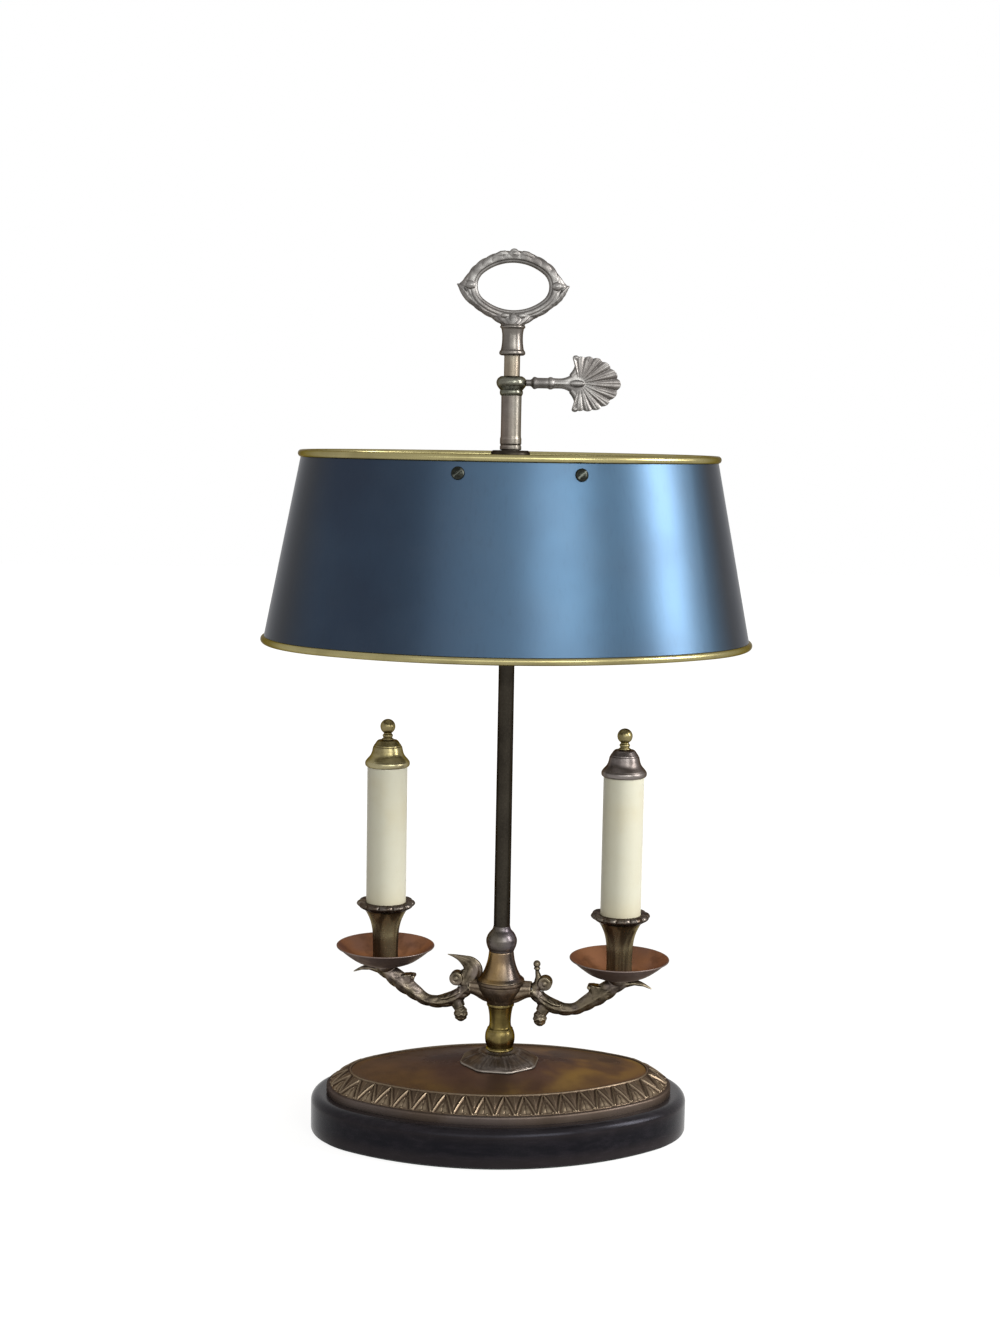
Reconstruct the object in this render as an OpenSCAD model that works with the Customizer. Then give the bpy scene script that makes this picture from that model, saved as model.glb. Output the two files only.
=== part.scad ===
// Bouillotte table lamp: oval tole shade that slides and turns on a brass rod, two dummy candles on
// scrolled arms, a brass dish on an oval wooden plinth and a hidden two-light cluster under the shade.
// Millimetres. +Z is up, X runs along the long axis of the base, and the origin is the centre of the
// face that the lamp stands on.

/* [Base] */
// Length of the wooden plinth
plinth_l = 297; // [260:1:340]
// Width of the wooden plinth
plinth_w = 186; // [170:1:220]
// Radius of the plinth's two ends in plan
plinth_end_r = 66; // [60:1:72]
// Height of the wood
plinth_h = 29.5; // [26:0.5:40]
// Rounding of the plinth's upper edge
plinth_round = 7; // [3:0.5:8]
// Thickness of the felt under the plinth
felt_t = 1.5; // [1:0.5:3]
// Width of wood that shows all round the brass dish
dish_margin = 12; // [8:0.5:16]
// Height of the plain lip of the dish
lip_h = 6; // [4:0.5:9]
// Width in plan of the leaf border, from the lip to the bead
band_w = 15.2; // [14:0.2:18]
// Rise of the leaf border, from the lip to the bead
band_rise = 11.4; // [7:0.2:13]
// Rise of the middle of the dish above the foot of the bead
dome_rise = 7.3; // [4:0.1:10]
// Thickness of the cast brass dish
dish_t = 2.2; // [1.8:0.1:3]
// Leaves of the border round each end of the dish
leaves_end = 5; // [4:1:6]
// Leaves of the border along each long side of the dish
leaves_side = 15; // [12:1:17]

/* [Column] */
// Width of the eight-sided foot across its flats
foot_w = 60; // [52:1:66]
// Height of the foot
foot_h = 9.7; // [8:0.1:14]
// Height of the lower baluster
baluster_h = 38; // [32:0.5:50]
// Largest diameter of the lower baluster
baluster_d = 23.6; // [20:0.2:28]
// Height of the hub that carries the arms
hub_h = 18.5; // [16:0.5:24]
// Diameter of the hub at its top
hub_d = 38; // [34:0.5:44]
// Height of the bell above the hub
bell_h = 23.4; // [18:0.2:34]
// Height of the knop, with its neck
knop_h = 20.1; // [17:0.1:30]
// Largest diameter of the knop
knop_d = 24.4; // [21:0.2:30]
// Length of the bronzed column tube
column_l = 274; // [230:1:330]
// Wall of the column tube at its top, over its clearance from the pipe
column_wall = 0.9; // [0.8:0.1:1.9]
// Taper of the column tube: how much thicker its foot is than its top, on the diameter
column_taper = 0.9; // [0:0.1:2]
// Diameter of the threaded pipe that ties the column together
pipe_d = 9.6; // [9:0.1:10]
// Bore of the threaded pipe
pipe_bore = 6.8; // [6:0.1:7]
// Diameter of the lamp wire inside the pipe
wire_d = 5.6; // [5:0.1:5.8]

/* [Candle arms] */
// Distance from the column to each candle
arm_reach = 93; // [88:1:110]
// Turn of the two arms against the length of the base
arm_turn = -12; // [-20:1:20]
// Height of the drip pan's seat above the underside of the hub
arm_rise = 26; // [24:0.5:32]
// Thickness of the arm castings, front to back
arm_t = 9; // [7:0.5:12]
// Diameter of each drip pan
pan_d = 77.8; // [70:0.2:84]
// Depth of each drip pan
pan_h = 15.5; // [12:0.5:18]
// Height of each candle cup
cup_h = 50; // [44:0.5:58]
// Diameter of the cup's rim, over its lobes
cup_d = 47.4; // [44:0.2:52]
// Diameter of the candle sleeves
candle_d = 31.4; // [29:0.1:33]
// Length of the candle sleeves
candle_l = 111; // [90:1:140]
// Wall of the candle sleeves
candle_wall = 1.4; // [1:0.1:2]
// How far the brass candle caps stand out beyond the sleeves
cap_over = 1.95; // [1:0.05:3.3]
// Height of the brass candle caps
cap_h = 21; // [18:0.5:26]
// Diameter of the ball on each cap
ball_d = 11.8; // [9:0.1:14]
// Diameter of the tie rod inside each candle
tie_d = 4; // [3:0.5:5]

/* [Shade] */
// Length of the shade at its lower rim
shade_l = 373.6; // [350:0.2:400]
// Width of the shade at its lower rim
shade_w = 276; // [264:0.5:300]
// Radius of the shade's two ends at its lower rim, in plan
shade_end_r = 112; // [104:1:120]
// Height of the shade
shade_h = 140; // [120:1:170]
// Slope of the shade: how far its lower rim stands out beyond the upper one
shade_flare = 27.8; // [20:0.2:34]
// Thickness of the shade's sheet metal
sheet = 0.8; // [0.6:0.1:1.5]
// Diameter of the rolled brass rims
rim_d = 5.6; // [4:0.1:7]
// How far the shade's lower edge hangs below the axis of the bulbs
shade_drop = 62; // [56:1:67]
// Distance of the spider screws below the shade's upper edge
screw_drop = 10.3; // [9:0.1:14]
// Distance between the two spider screws of one side
screw_pitch = 88; // [76:1:96]

/* [Slide and handle] */
// Diameter of the rod that the shade slides on
rod_d = 12.1; // [11:0.1:13]
// Free length of the rod between the clamp collar and the handle
rod_free = 15.5; // [15.4:0.1:25]
// Wall of the sliding sleeve
sleeve_wall = 1.75; // [1.45:0.05:2.9]
// Length of the sliding sleeve above the spider
sleeve_l = 41; // [36:0.5:44]
// Diameter of the clamp collar
collar_d = 23.5; // [22:0.1:28]
// Height of the clamp collar, with its lower ring
collar_h = 14.7; // [13:0.1:18]
// Radius of the shell at the end of the clamp key
shell_r = 31.4; // [26:0.2:36]
// Distance from the rod to the hinge point of the shell
shell_x = 51.8; // [48:0.2:58]
// Height of the handle's ferrule
ferrule_h = 19.1; // [16:0.1:24]
// Width of the ring handle, without its side points
ring_w = 73; // [64:1:84]
// Height of the ring handle
ring_h = 54; // [48:1:62]
// Radius of the ring handle's two ends
ring_end_r = 17; // [14:0.5:19]
// Thickness of the ring handle
ring_t = 9.6; // [8:0.1:11]

/* [Light cluster] */
// Diameter of the cluster body
cluster_d = 30; // [26:1:34]
// Height of the cluster body
cluster_h = 28; // [26:0.5:34]
// Diameter of the lamp sockets
socket_d = 33; // [31:0.5:36]
// Length of the sockets' brass shells
socket_l = 32; // [30:0.5:36]
// Length of the sockets' end caps
socket_cap_l = 12; // [10:0.5:14]
// Diameter of the bulbs
bulb_d = 47; // [40:1:52]
// Length of the bulbs outside the sockets
bulb_l = 54; // [50:0.5:56]
// Diameter of the switch knobs
knob_d = 13; // [10:0.5:16]

/* [Fits] */
// Clearance round a shaft that slides or turns in a bore, on the radius
run_fit = 0.05; // [0.02:0.01:0.08]
// Clearance between pieces that are clamped together, on the radius
loose_fit = 0.05; // [0.05:0.01:0.2]
// Gap between faces that turn or slide past each other
face_gap = 0.3; // [0.2:0.05:0.5]

/* [Hidden] */
$fn = 72;

// Heights of the stack, from the table up
plinth_z0 = felt_t;
plinth_z1 = plinth_z0 + plinth_h;
lip_z = plinth_z1 + lip_h;
bead_z = lip_z + band_rise;
field_z = bead_z - 1.4;
seat_z = field_z + dome_rise;
baluster_z = seat_z + foot_h;
hub_z = baluster_z + baluster_h;
bell_z = hub_z + hub_h;
knop_z = bell_z + bell_h;
column_z = knop_z + knop_h;
cluster_z = column_z + column_l;
light_z = cluster_z + cluster_h / 2;
rod_z = cluster_z + cluster_h;
shade_z = light_z - shade_drop;
shade_z1 = shade_z + shade_h;
sleeve_z = shade_z1 + 5.4;
collar_z = sleeve_z + sleeve_l;
ferrule_z = collar_z + collar_h + rod_free;
ring_z0 = ferrule_z + ferrule_h;

// Base
seat_r = foot_w / 2 / cos(22.5) + 0.5;
dish_wall = 0.8;
recess_r = 22;
recess_h = 18;
washer_r = 17;
washer_t = 2.4;
nut_af = 15;
nut_t = 4.2;
pipe_tail = 0.5;
bushing_z = plinth_z0 + 7.5;
bushing_r = 5;
bushing_bore = 3.9;
bushing_l = 13;
bushing_flange = 2;
groove_w = 9;
edge_round = 1.2;
land_w = 2.6;
bead_w = 1.8;
leaf_relief = 1.1;

// Column
column_d1 = pipe_d + 0.6 + 2 * column_wall;
column_d0 = column_d1 + column_taper;

// Candle arms and what they carry
cap_d = candle_d + 2 * cap_over;
lug_r = 6.4;
lug_x = 24.5;
lug_z = bell_z - lug_r - 0.1;
stud_d = 5;
stud_x0 = 14;
stud_x1 = 34;
pan_z = hub_z + arm_rise;
pan_t = 1.3;
cup_z = pan_z + pan_t;
candle_z = cup_z + cup_h - 3.2;
cap_z = candle_z + candle_l;
cap_skirt = 4;
ball_z = cap_z + cap_h;
tie_z0 = pan_z - 9;
tie_z1 = ball_z + 6;

// Shade and slide
sleeve_d = rod_d + 2 * sleeve_wall;
key_z = collar_z + 9.9;
key_neck_r = 2.5;
hub_t = 5;
spider_z = sleeve_z - face_gap - hub_t;
spider_bore = rod_d / 2 + 0.85;
spider_hub_r = spider_bore + 8.1;
spider_drop = 3.6;
nut_z = spider_z - face_gap;
spider_nut_t = 4;
strap_w = 8;
strap_t = 2.6;
tab_t = 2;
strap_end = 7.4;
screw_z = shade_z1 - screw_drop;
screw_d = 4;
screw_head_d = 9.6;
slot_fit = 0.06;
edge_in = 0.6;
shade_slope = shade_flare / (shade_h - 2 * edge_in);
tilt = atan(shade_slope);

// Light cluster
nipple_d = 9.6;
cap_x = cluster_d / 2 + 0.3;
shell_x0 = cap_x + socket_cap_l;
shell_x1 = shell_x0 + socket_l;
bulb_x1 = shell_x1 + bulb_l;
knob_x = shell_x0 + 14;
knob_l = 12;
knob_stem_d = 4;
core_hollow = 13.7;

// Handle
ring_mid = ring_z0 + 5.3 + ring_h / 2;

// ---------- Curves and skins ----------

// A four-centre oval: two end arcs of radius r and two side arcs that meet them without a corner
function oval_side_r(l, w, r) = (pow(l / 2 - r, 2) + pow(w / 2, 2) - r * r) / (w - 2 * r);
function oval_angle(l, w, r) = atan2(oval_side_r(l, w, r) - w / 2, l / 2 - r);
function arc(c, r, a0, a1, n) = [for (i = [0:n - 1])
    c + r * [cos(a0 + (a1 - a0) * i / n), sin(a0 + (a1 - a0) * i / n)]];
// Points on the oval moved outward by o, with n on each of its four arcs
function oval_points(l, w, r, o, n) =
    let (s = oval_side_r(l, w, r), t = oval_angle(l, w, r), e = l / 2 - r, d = s - w / 2)
    concat(arc([e, 0], r + o, -t, t, n), arc([0, -d], s + o, t, 180 - t, n),
        arc([-e, 0], r + o, 180 - t, 180 + t, n), arc([0, d], s + o, 180 + t, 360 - t, n));

// Turns a profile round a four-centre oval: x is the distance outward from it, y the height
module oval_turn(l, w, r) {
    s = oval_side_r(l, w, r);
    t = oval_angle(l, w, r);
    for (side = [0, 180]) rotate([0, 0, side]) {
        translate([l / 2 - r, 0, 0])
            rotate_extrude(angle = 2 * t, start = -t) translate([r, 0]) children();
        translate([0, w / 2 - s, 0])
            rotate_extrude(angle = 180 - 2 * t, start = t) translate([s, 0]) children();
    }
}

// Turns a closed bead's section round the oval. The side arcs take it $thin thinner and reach one
// degree into the end arcs, so that the four pieces join cleanly
module oval_bead(l, w, r) {
    s = oval_side_r(l, w, r);
    a = oval_angle(l, w, r);
    for (side = [0, 180]) {
        translate([(l / 2 - r) * cos(side), 0, 0])
            rotate_extrude(angle = 2 * a, start = side - a) translate([r, 0])
                let ($thin = 0) children();
        translate([0, (w / 2 - s) * cos(side), 0])
            rotate_extrude(angle = 182 - 2 * a, start = side + a - 1) translate([s, 0])
                let ($thin = 0.05) children();
    }
}

// A solid through rings of points, each with as many points, running counterclockwise about the travel
module skin(rings) {
    m = len(rings[0]);
    n = len(rings);
    polyhedron(points = [for (r = rings) each r], faces = concat(
        [[for (j = [0:m - 1]) j]],
        [[for (j = [0:m - 1]) n * m - 1 - j]],
        [for (i = [0:n - 2], j = [0:m - 1]) [i * m + j, (i + 1) * m + j, (i + 1) * m + (j + 1) % m]],
        [for (i = [0:n - 2], j = [0:m - 1])
            [i * m + j, (i + 1) * m + (j + 1) % m, i * m + (j + 1) % m]]));
}

// Points round the oval moved outward by o, at the height z: each end is divided into n[0] equal
// units and each side into n[1], and every unit has a point at each mark [share of it, relief]
function oval_marks(l, w, r, o, z, n, marks) =
    let (s = oval_side_r(l, w, r), t = oval_angle(l, w, r), e = l / 2 - r, d = s - w / 2)
    [for (q = [[e, 0, r, -t, t, n[0]], [0, -d, s, t, 180 - t, n[1]],
        [-e, 0, r, 180 - t, 180 + t, n[0]], [0, d, s, 180 + t, 360 - t, n[1]]])
        for (i = [0:q[5] - 1], m = marks)
            let (a = q[3] + (q[4] - q[3]) * (i + m[0]) / q[5], p = q[2] + o + 0.55 * m[1])
            [q[0] + p * cos(a), q[1] + p * sin(a), z + 0.83 * m[1]]];

// Triangles between ring i of the sizes n, starting at s, and the next; one may have three times
// as many points as the other
function seam(i, n, s) = let (k = (i + 1) % len(n), a = s[i], b = s[k], m = n[i], p = n[k])
    m == p ? [for (j = [0:m - 1], f = [0, 1]) let (u = (j + 1) % m)
        f == 0 ? [a + j, b + j, b + u] : [a + j, b + u, a + u]]
    : m > p ? [for (j = [0:p - 1], f = [0:3]) let (c = a + 3 * j, v = b + (j + 1) % p)
        f == 0 ? [c, b + j, c + 1] : f == 1 ? [c + 1, b + j, v] : f == 2 ? [c + 1, v, c + 2]
        : [c + 2, v, a + (3 * j + 3) % m]]
    : [for (j = [0:m - 1], f = [0:3]) let (c = b + 3 * j, v = a + (j + 1) % m)
        f == 0 ? [a + j, c, c + 1] : f == 1 ? [a + j, c + 1, c + 2] : f == 2 ? [a + j, c + 2, v]
        : [v, c + 2, b + (3 * j + 3) % p]];

// A ring-shaped solid: the skin runs through the rings and back to the first
module closed_skin(rings) {
    n = [for (r = rings) len(r)];
    s = [for (i = 0, t = 0; i < len(n); t = t + n[i], i = i + 1) t];
    polyhedron(points = [for (r = rings) each r], faces = [for (i = [0:len(n) - 1]) each seam(i, n, s)]);
}

function on_curve(a, b, c, d, t) = 0.5 * (2 * b + (c - a) * t + (2 * a - 5 * b + 4 * c - d) * t * t
    + (3 * b - a - 3 * c + d) * t * t * t);
// A smooth curve through the points p, with n steps between two of them
function smooth(p, n) = [for (i = [0:len(p) - 2], k = [0:n - 1])
    on_curve(p[max(i - 1, 0)], p[i], p[i + 1], p[min(i + 2, len(p) - 1)], k / n), p[len(p) - 1]];

// A scroll in the XZ plane through [x, z, half height, half thickness] at each point
module scroll(points, steps = 3, sides = 10) {
    p = smooth(points, steps);
    skin([for (i = [0:len(p) - 1])
        let (a = p[max(i - 1, 0)], b = p[min(i + 1, len(p) - 1)],
            g = [b[0] - a[0], b[1] - a[1]] / norm([b[0] - a[0], b[1] - a[1]]))
        [for (k = [0:sides - 1]) let (c = cos(360 * k / sides), s = sin(360 * k / sides))
            [p[i][0] - g[1] * p[i][2] * c, -p[i][3] * s, p[i][1] + g[0] * p[i][2] * c]]]);
}

// A raised rib between two points
module rib(a, b, ra, rb) {
    hull() {
        translate(a) sphere(r = ra, $fn = 4);
        translate(b) sphere(r = rb, $fn = 4);
    }
}

module turned(points) {
    rotate_extrude() polygon(points);
}

// Turns a profile about the X axis: x along the axis, y the radius
module turned_x(points) {
    rotate([0, 90, 0]) rotate_extrude() polygon([for (p = points) [p[1], p[0]]]);
}

module on_right() {
    children();
}

module on_left() {
    rotate([0, 0, 180]) children();
}

// Puts a candle's piece over its arm's seat
module at_candle(side) {
    rotate([0, 0, arm_turn + (side < 0 ? 180 : 0)]) translate([arm_reach, 0, 0]) children();
}

// ---------- Base ----------

module plinth_oval(profile) {
    oval_turn(plinth_l, plinth_w, plinth_end_r) polygon(profile);
}

module plinth_core(z0, z1, inset) {
    translate([0, 0, z0]) linear_extrude(z1 - z0)
        polygon(oval_points(plinth_l, plinth_w, plinth_end_r, -inset, 12));
}

module felt_pad() {
    color("darkgreen") {
        plinth_oval([[-16, 0], [-3, 0], [-3, felt_t], [-16, felt_t]]);
        plinth_core(0, felt_t, 10);
    }
}

module wood_plinth() {
    color([0.05, 0.05, 0.07]) difference() {
        union() {
            plinth_oval(concat(
                [[-26, plinth_z0], [-edge_round, plinth_z0], [0, plinth_z0 + edge_round]],
                [for (a = [0:10:90]) [-plinth_round, plinth_z1 - plinth_round]
                    + plinth_round * [cos(a), sin(a)]],
                [[-26, plinth_z1]]));
            plinth_core(plinth_z0, plinth_z1, 18);
        }
        translate([0, 0, plinth_z0 - 1]) cylinder(r = recess_r, h = recess_h + 1);
        cylinder(d = pipe_d + 2 * loose_fit, h = plinth_z1 + 1);
        translate([-groove_w / 2, 0, plinth_z0 - 1])
            cube([groove_w, plinth_w / 2 - bushing_l + 2, 12]);
        translate([0, plinth_w / 2 + 1, bushing_z]) rotate([90, 0, 0])
            cylinder(r = bushing_r + loose_fit, h = bushing_l + 4);
    }
}

module cord_bushing() {
    color("black") translate([0, plinth_w / 2 + 0.3, bushing_z]) rotate([90, 0, 0])
        difference() {
            union() {
                cylinder(r = bushing_r, h = bushing_l - 1);
                translate([0, 0, -bushing_flange]) cylinder(r = bushing_r + 2, h = bushing_flange);
            }
            translate([0, 0, -bushing_flange - 1]) cylinder(r = bushing_bore, h = bushing_l + 4);
        }
}

recess_z = plinth_z0 + recess_h;

module base_washer() {
    color("silver") translate([0, 0, recess_z - washer_t]) difference() {
        cylinder(r = washer_r, h = washer_t);
        translate([0, 0, -1]) cylinder(d = pipe_d + 2 * loose_fit, h = washer_t + 2);
    }
}

module base_nut() {
    color("goldenrod") translate([0, 0, recess_z - washer_t - nut_t]) difference() {
        cylinder(d = nut_af / cos(30), h = nut_t, $fn = 6);
        translate([0, 0, -1]) cylinder(d = pipe_d + 2 * loose_fit, h = nut_t + 2);
    }
}

// The band rises from the lip's land to the bead; u runs from 0 at the land to 1 at the bead
function band_x(u) = -dish_margin - land_w - u * band_w;
function band_z(u) = lip_z + 0.4 + u * (band_rise - 1.4) + 0.8 * sin(180 * u);
inner_x = band_x(1) - bead_w;

// A row of the leaf border at the height u of the band: each unit has two raised edges that lean
// together into a point, and a rib between them that dies out half way up
function leaf_row(u) = let (d = 0.44 * (1 - u) + 0.02, edge = leaf_relief * min(1, u / 0.12) * (1 - 0.4 * u),
    mid = leaf_relief * 0.8 * min(1, u / 0.12) * max(0, 1 - u / 0.62))
    [[0, -0.2], [0.5 - d, edge], [0.5 - 0.45 * d, 0], [0.5, max(mid, edge * (u - 0.5) * 1.6)],
        [0.5 + 0.45 * d, 0], [0.5 + d, edge]];

module base_dish() {
    l = plinth_l;
    w = plinth_w;
    r = plinth_end_r;
    n = [leaves_end, leaves_side];
    plain = [[0, 0], [0.5, 0]];
    lip = [[-dish_margin, plinth_z1], [-dish_margin, lip_z - dish_wall],
        [-dish_margin - dish_wall, lip_z], [-dish_margin - land_w, lip_z + 0.2]];
    bead = [[band_x(1) - 0.3, bead_z - 0.3], [band_x(1) - bead_w / 2, bead_z],
        [band_x(1) - bead_w, bead_z - 0.3], [inner_x, field_z]];
    under = [[inner_x - 2.5, field_z - dish_t], [band_x(1), band_z(1) - dish_t - 0.4],
        [band_x(0.1), lip_z - dish_t], [-dish_margin - dish_t, lip_z - dish_t - 2],
        [-dish_margin - dish_t, plinth_z1]];
    // from the foot of the bead to the round seat of the column, in shares f of the way
    dome = [for (f = [0.15, 0.4, 0.7, 1])
        [for (p = oval_marks(l, w, r, inner_x, 0, n, plain)) let (q = seat_r * p / norm(p))
            [p[0] + f * (q[0] - p[0]), p[1] + f * (q[1] - p[1]),
                field_z + dome_rise * (0.55 * f + 0.45 * f * f)]]];
    bore = [for (p = dome[3]) let (b = (pipe_d / 2 + loose_fit + 0.1) / norm([p[0], p[1]]))
        [p[0] * b, p[1] * b, seat_z]];
    color([0.48, 0.36, 0.2]) closed_skin(concat(
        [for (p = lip) oval_marks(l, w, r, p[0], p[1], n, plain)],
        [for (u = [0.02, 0.14, 0.32, 0.52, 0.74, 0.94])
            oval_marks(l, w, r, band_x(u), band_z(u), n, leaf_row(u))],
        [for (p = bead) oval_marks(l, w, r, p[0], p[1], n, plain)],
        dome, [bore], [[for (p = bore) p - [0, 0, dish_t]]],
        [for (k = [3:-1:0]) [for (p = dome[k]) [p[0] * 0.995, p[1] * 0.995, p[2] - dish_t]]],
        [for (p = under) oval_marks(l, w, r, p[0], p[1], n, plain)]));
}

// ---------- Column ----------

module foot_boss() {
    w = foot_w / 2;
    h = foot_h;
    n = baluster_d / 2 - 0.9;
    color([0.5, 0.42, 0.33]) rotate([0, 0, arm_turn]) translate([0, 0, seat_z]) difference() {
        intersection() {
            turned([[0, 0], [w + 4, 0], [w + 4, 2.2], [w + 1, 2.6], [w - 5, 0.37 * h],
                [w - 11, 0.54 * h], [w - 15, 0.74 * h], [n + 1, h - 0.6], [n, h], [0, h]]);
            rotate([0, 0, 22.5]) cylinder(r = w / cos(22.5), h = h + 1, $fn = 8);
        }
        translate([0, 0, -1]) cylinder(d = pipe_d + 2 * loose_fit, h = h + 2);
    }
}

module lower_baluster() {
    r = baluster_d / 2;
    b = pipe_d / 2 + loose_fit;
    h = baluster_h;
    color([0.62, 0.52, 0.25]) translate([0, 0, baluster_z]) turned([[b, 0], [r - 1.1, 0],
        [r - 0.9, 0.8], [r - 1.1, 1.7], [r - 1.7, 2.1], [r - 0.8, 4.5], [r - 0.1, 7.5], [r, 9.5],
        [r - 0.1, 12.5], [r - 0.7, 15], [r - 1.6, 16.6], [r - 2.9, 18], [r - 3.3, 21],
        [r - 3.2, 26], [r - 2.6, h - 7], [r - 1.4, h - 2.2], [r - 0.9, h - 1.2], [r - 0.9, h],
        [b, h]]);
}

module arm_hub() {
    r = hub_d / 2;
    b = pipe_d / 2 + loose_fit;
    h = hub_h;
    color([0.5, 0.43, 0.3]) difference() {
        union() {
            translate([0, 0, hub_z]) turned([[b, 0], [r - 8, 0], [r - 7.6, 1.2], [r - 6.6, 3.4],
                [r - 4, 7.2], [r - 1.4, 11.4], [r - 0.3, h - 3.4], [r, h - 1.6], [r - 0.4, h],
                [b, h]]);
            rotate([0, 0, arm_turn]) for (s = [0, 180]) rotate([0, 0, s])
                translate([8, 0, lug_z]) rotate([0, 90, 0]) cylinder(r = lug_r, h = lug_x - 8);
        }
        translate([0, 0, hub_z - 1]) cylinder(r = b, h = hub_h + 2);
        rotate([0, 0, arm_turn]) for (s = [0, 180]) rotate([0, 0, s])
            translate([stud_x0 - 0.2, 0, lug_z]) rotate([0, 90, 0])
                cylinder(d = stud_d + 2 * loose_fit, h = 20);
    }
}

module arm_studs() {
    color("silver") rotate([0, 0, arm_turn]) for (s = [0, 180]) rotate([0, 0, s])
        translate([stud_x0, 0, lug_z]) rotate([0, 90, 0])
            cylinder(d = stud_d, h = stud_x1 - stud_x0);
}

module bell_cone() {
    b = pipe_d / 2 + loose_fit;
    h = bell_h;
    r = hub_d / 2 - 0.5;
    color([0.6, 0.5, 0.3]) translate([0, 0, bell_z]) turned([[b, 0], [r, 0], [r, 0.8],
        [r - 0.8, 1.6], [r - 2.6, 2.8], [r - 4.6, 6.4], [r - 6.3, 10.6], [r - 7.6, 15],
        [r - 8.3, 19], [r - 8.6, h - 0.6], [r - 9, h], [b, h]]);
}

module column_knop() {
    b = pipe_d / 2 + loose_fit;
    r = knop_d / 2;
    h = knop_h;
    color([0.42, 0.36, 0.28]) translate([0, 0, knop_z]) turned([[b, 0], [r - 2.3, 0],
        [r - 2.1, 0.8], [r - 0.8, 3.6], [r - 0.1, 6.4], [r, 8.4], [r - 0.2, 10.2],
        [r - 1.6, 13.4], [r - 3.2, 15.4], [r - 4.6, 16.8], [r - 5.4, 18.6],
        [column_d0 / 2 + 0.1, h], [b, h]]);
}

module column_tube() {
    b = pipe_d / 2 + 0.3;
    color([0.24, 0.21, 0.18]) translate([0, 0, column_z]) turned([[b, 0], [column_d0 / 2, 0],
        [column_d1 / 2, column_l], [b, column_l]]);
}

pipe_z0 = recess_z - washer_t - nut_t - pipe_tail;

module centre_pipe() {
    color("silver") translate([0, 0, pipe_z0]) difference() {
        cylinder(d = pipe_d, h = rod_z - 10 - pipe_z0);
        translate([0, 0, -1]) cylinder(d = pipe_bore, h = rod_z);
    }
}

module inner_wire() {
    color("dimgray") {
        translate([0, 0, bushing_z]) cylinder(d = wire_d, h = rod_z - 14 - bushing_z);
        translate([0, 0, bushing_z]) sphere(d = wire_d);
        translate([0, 0, bushing_z]) rotate([-90, 0, 0])
            cylinder(d = wire_d, h = plinth_w / 2 - bushing_l - 0.5);
    }
}

// ---------- Candle arms ----------

// The arm's own plane: x outward from the column, z up, both from the hub's lug and the pan's seat
module arm_body() {
    t = arm_t / 2;
    e = arm_reach;
    u = hub_z;
    scroll([[lug_x, lug_z, lug_r, t], [29.5, lug_z - 4.5, 5.6, t], [36, u + 1.6, 5.2, t],
        [47, u - 2.2, 5.2, t], [59, u - 1.6, 4.9, t], [e - 24, u + 4.2, 6.2, t + 0.6],
        [e - 13, u + 12, 7.4, t + 1.4], [e - 2, u + 19.6, 6.2, t + 1.6],
        [e + 9, u + 22.4, 3.2, t], [e + 18, u + 21.4, 1.6, t - 2], [e + 26, u + 18, 0.4, 0.8]], 2);
    // leaf that curls up below the pan
    scroll([[e - 17, u + 8, 5, t], [e - 19.5, u + 14, 5.6, t + 0.6], [e - 20, u + 20.6, 6.6, t],
        [e - 19.6, u + 21, 6.2, t - 0.6]], 2, 8);
    // volute and hanging bud beside the hub
    translate([35.4, t + 0.6, lug_z + 6.2]) rotate([90, 0, 0]) cylinder(r = 5.9, h = arm_t + 1.2,
        $fn = 24);
    scroll([[27, lug_z + 1, 4.6, t], [31, lug_z + 4, 4.4, t], [35, lug_z + 6, 4, t]], 2, 8);
    scroll([[33, u - 1, 2.6, 2.6], [32, u - 5, 4.4, 3.6], [31.4, u - 10, 5.2, 4.4],
        [31, u - 14, 3.8, 3.4], [30.8, u - 16.4, 0.8, 0.8]], 2, 8);
    // leaf that lies on the arm's root and ends in a tip
    scroll([[33, u + 6.6, 3.4, t + 0.3], [40, u + 3.2, 3, t + 0.6], [46, u + 1.4, 2.4, t + 0.4],
        [49.5, u + 1.6, 1, t - 1]], 2, 8);
    // veins of the leaf that carries the pan
    for (i = [0:6]) for (s = [-1, 1]) {
        x = 50 + i * (e - 58) / 6;
        z = u - 1.4 + 17 * pow(max(0, (x - 55) / (e - 63)), 1.6);
        rib([x, s * (t - 1.5), z - 3], [x - 5, s * (t - 0.5), z + 2.8], 1.4, 0.6);
    }
}

module arm_cuts() {
    translate([stud_x0, 0, lug_z]) rotate([0, 90, 0])
        cylinder(d = stud_d + 0.3, h = stud_x1 + 0.5 - stud_x0, $fn = 24);
    translate([arm_reach, 0, tie_z0]) cylinder(d = tie_d + 0.4, h = 30, $fn = 24);
    translate([arm_reach, 0, pan_z]) cylinder(r = pan_d / 2, h = 20);
    translate([0, 0, lug_z]) rotate([0, 90, 0]) cylinder(r = lug_r + 1, h = lug_x, $fn = 36);
}

// Round seat that carries the drip pan
module arm_seat() {
    translate([arm_reach, 0, pan_z - 5]) cylinder(r1 = 7, r2 = 9, h = 5, $fn = 32);
}

module left_arm() {
    t = arm_t / 2;
    color([0.46, 0.4, 0.26]) rotate([0, 0, arm_turn + 180]) difference() {
        union() {
            arm_body();
            arm_seat();
            scroll([[28, lug_z + 3, 4.5, t - 0.5], [24.6, lug_z + 9.4, 5.4, t - 0.5],
                [23, lug_z + 15.6, 6.4, t - 1], [27, lug_z + 20.8, 4.6, 2.8],
                [34, lug_z + 23.2, 2, 1.8], [42, lug_z + 24.4, 0.4, 0.5]], 2, 8);
        }
        arm_cuts();
    }
}

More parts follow.
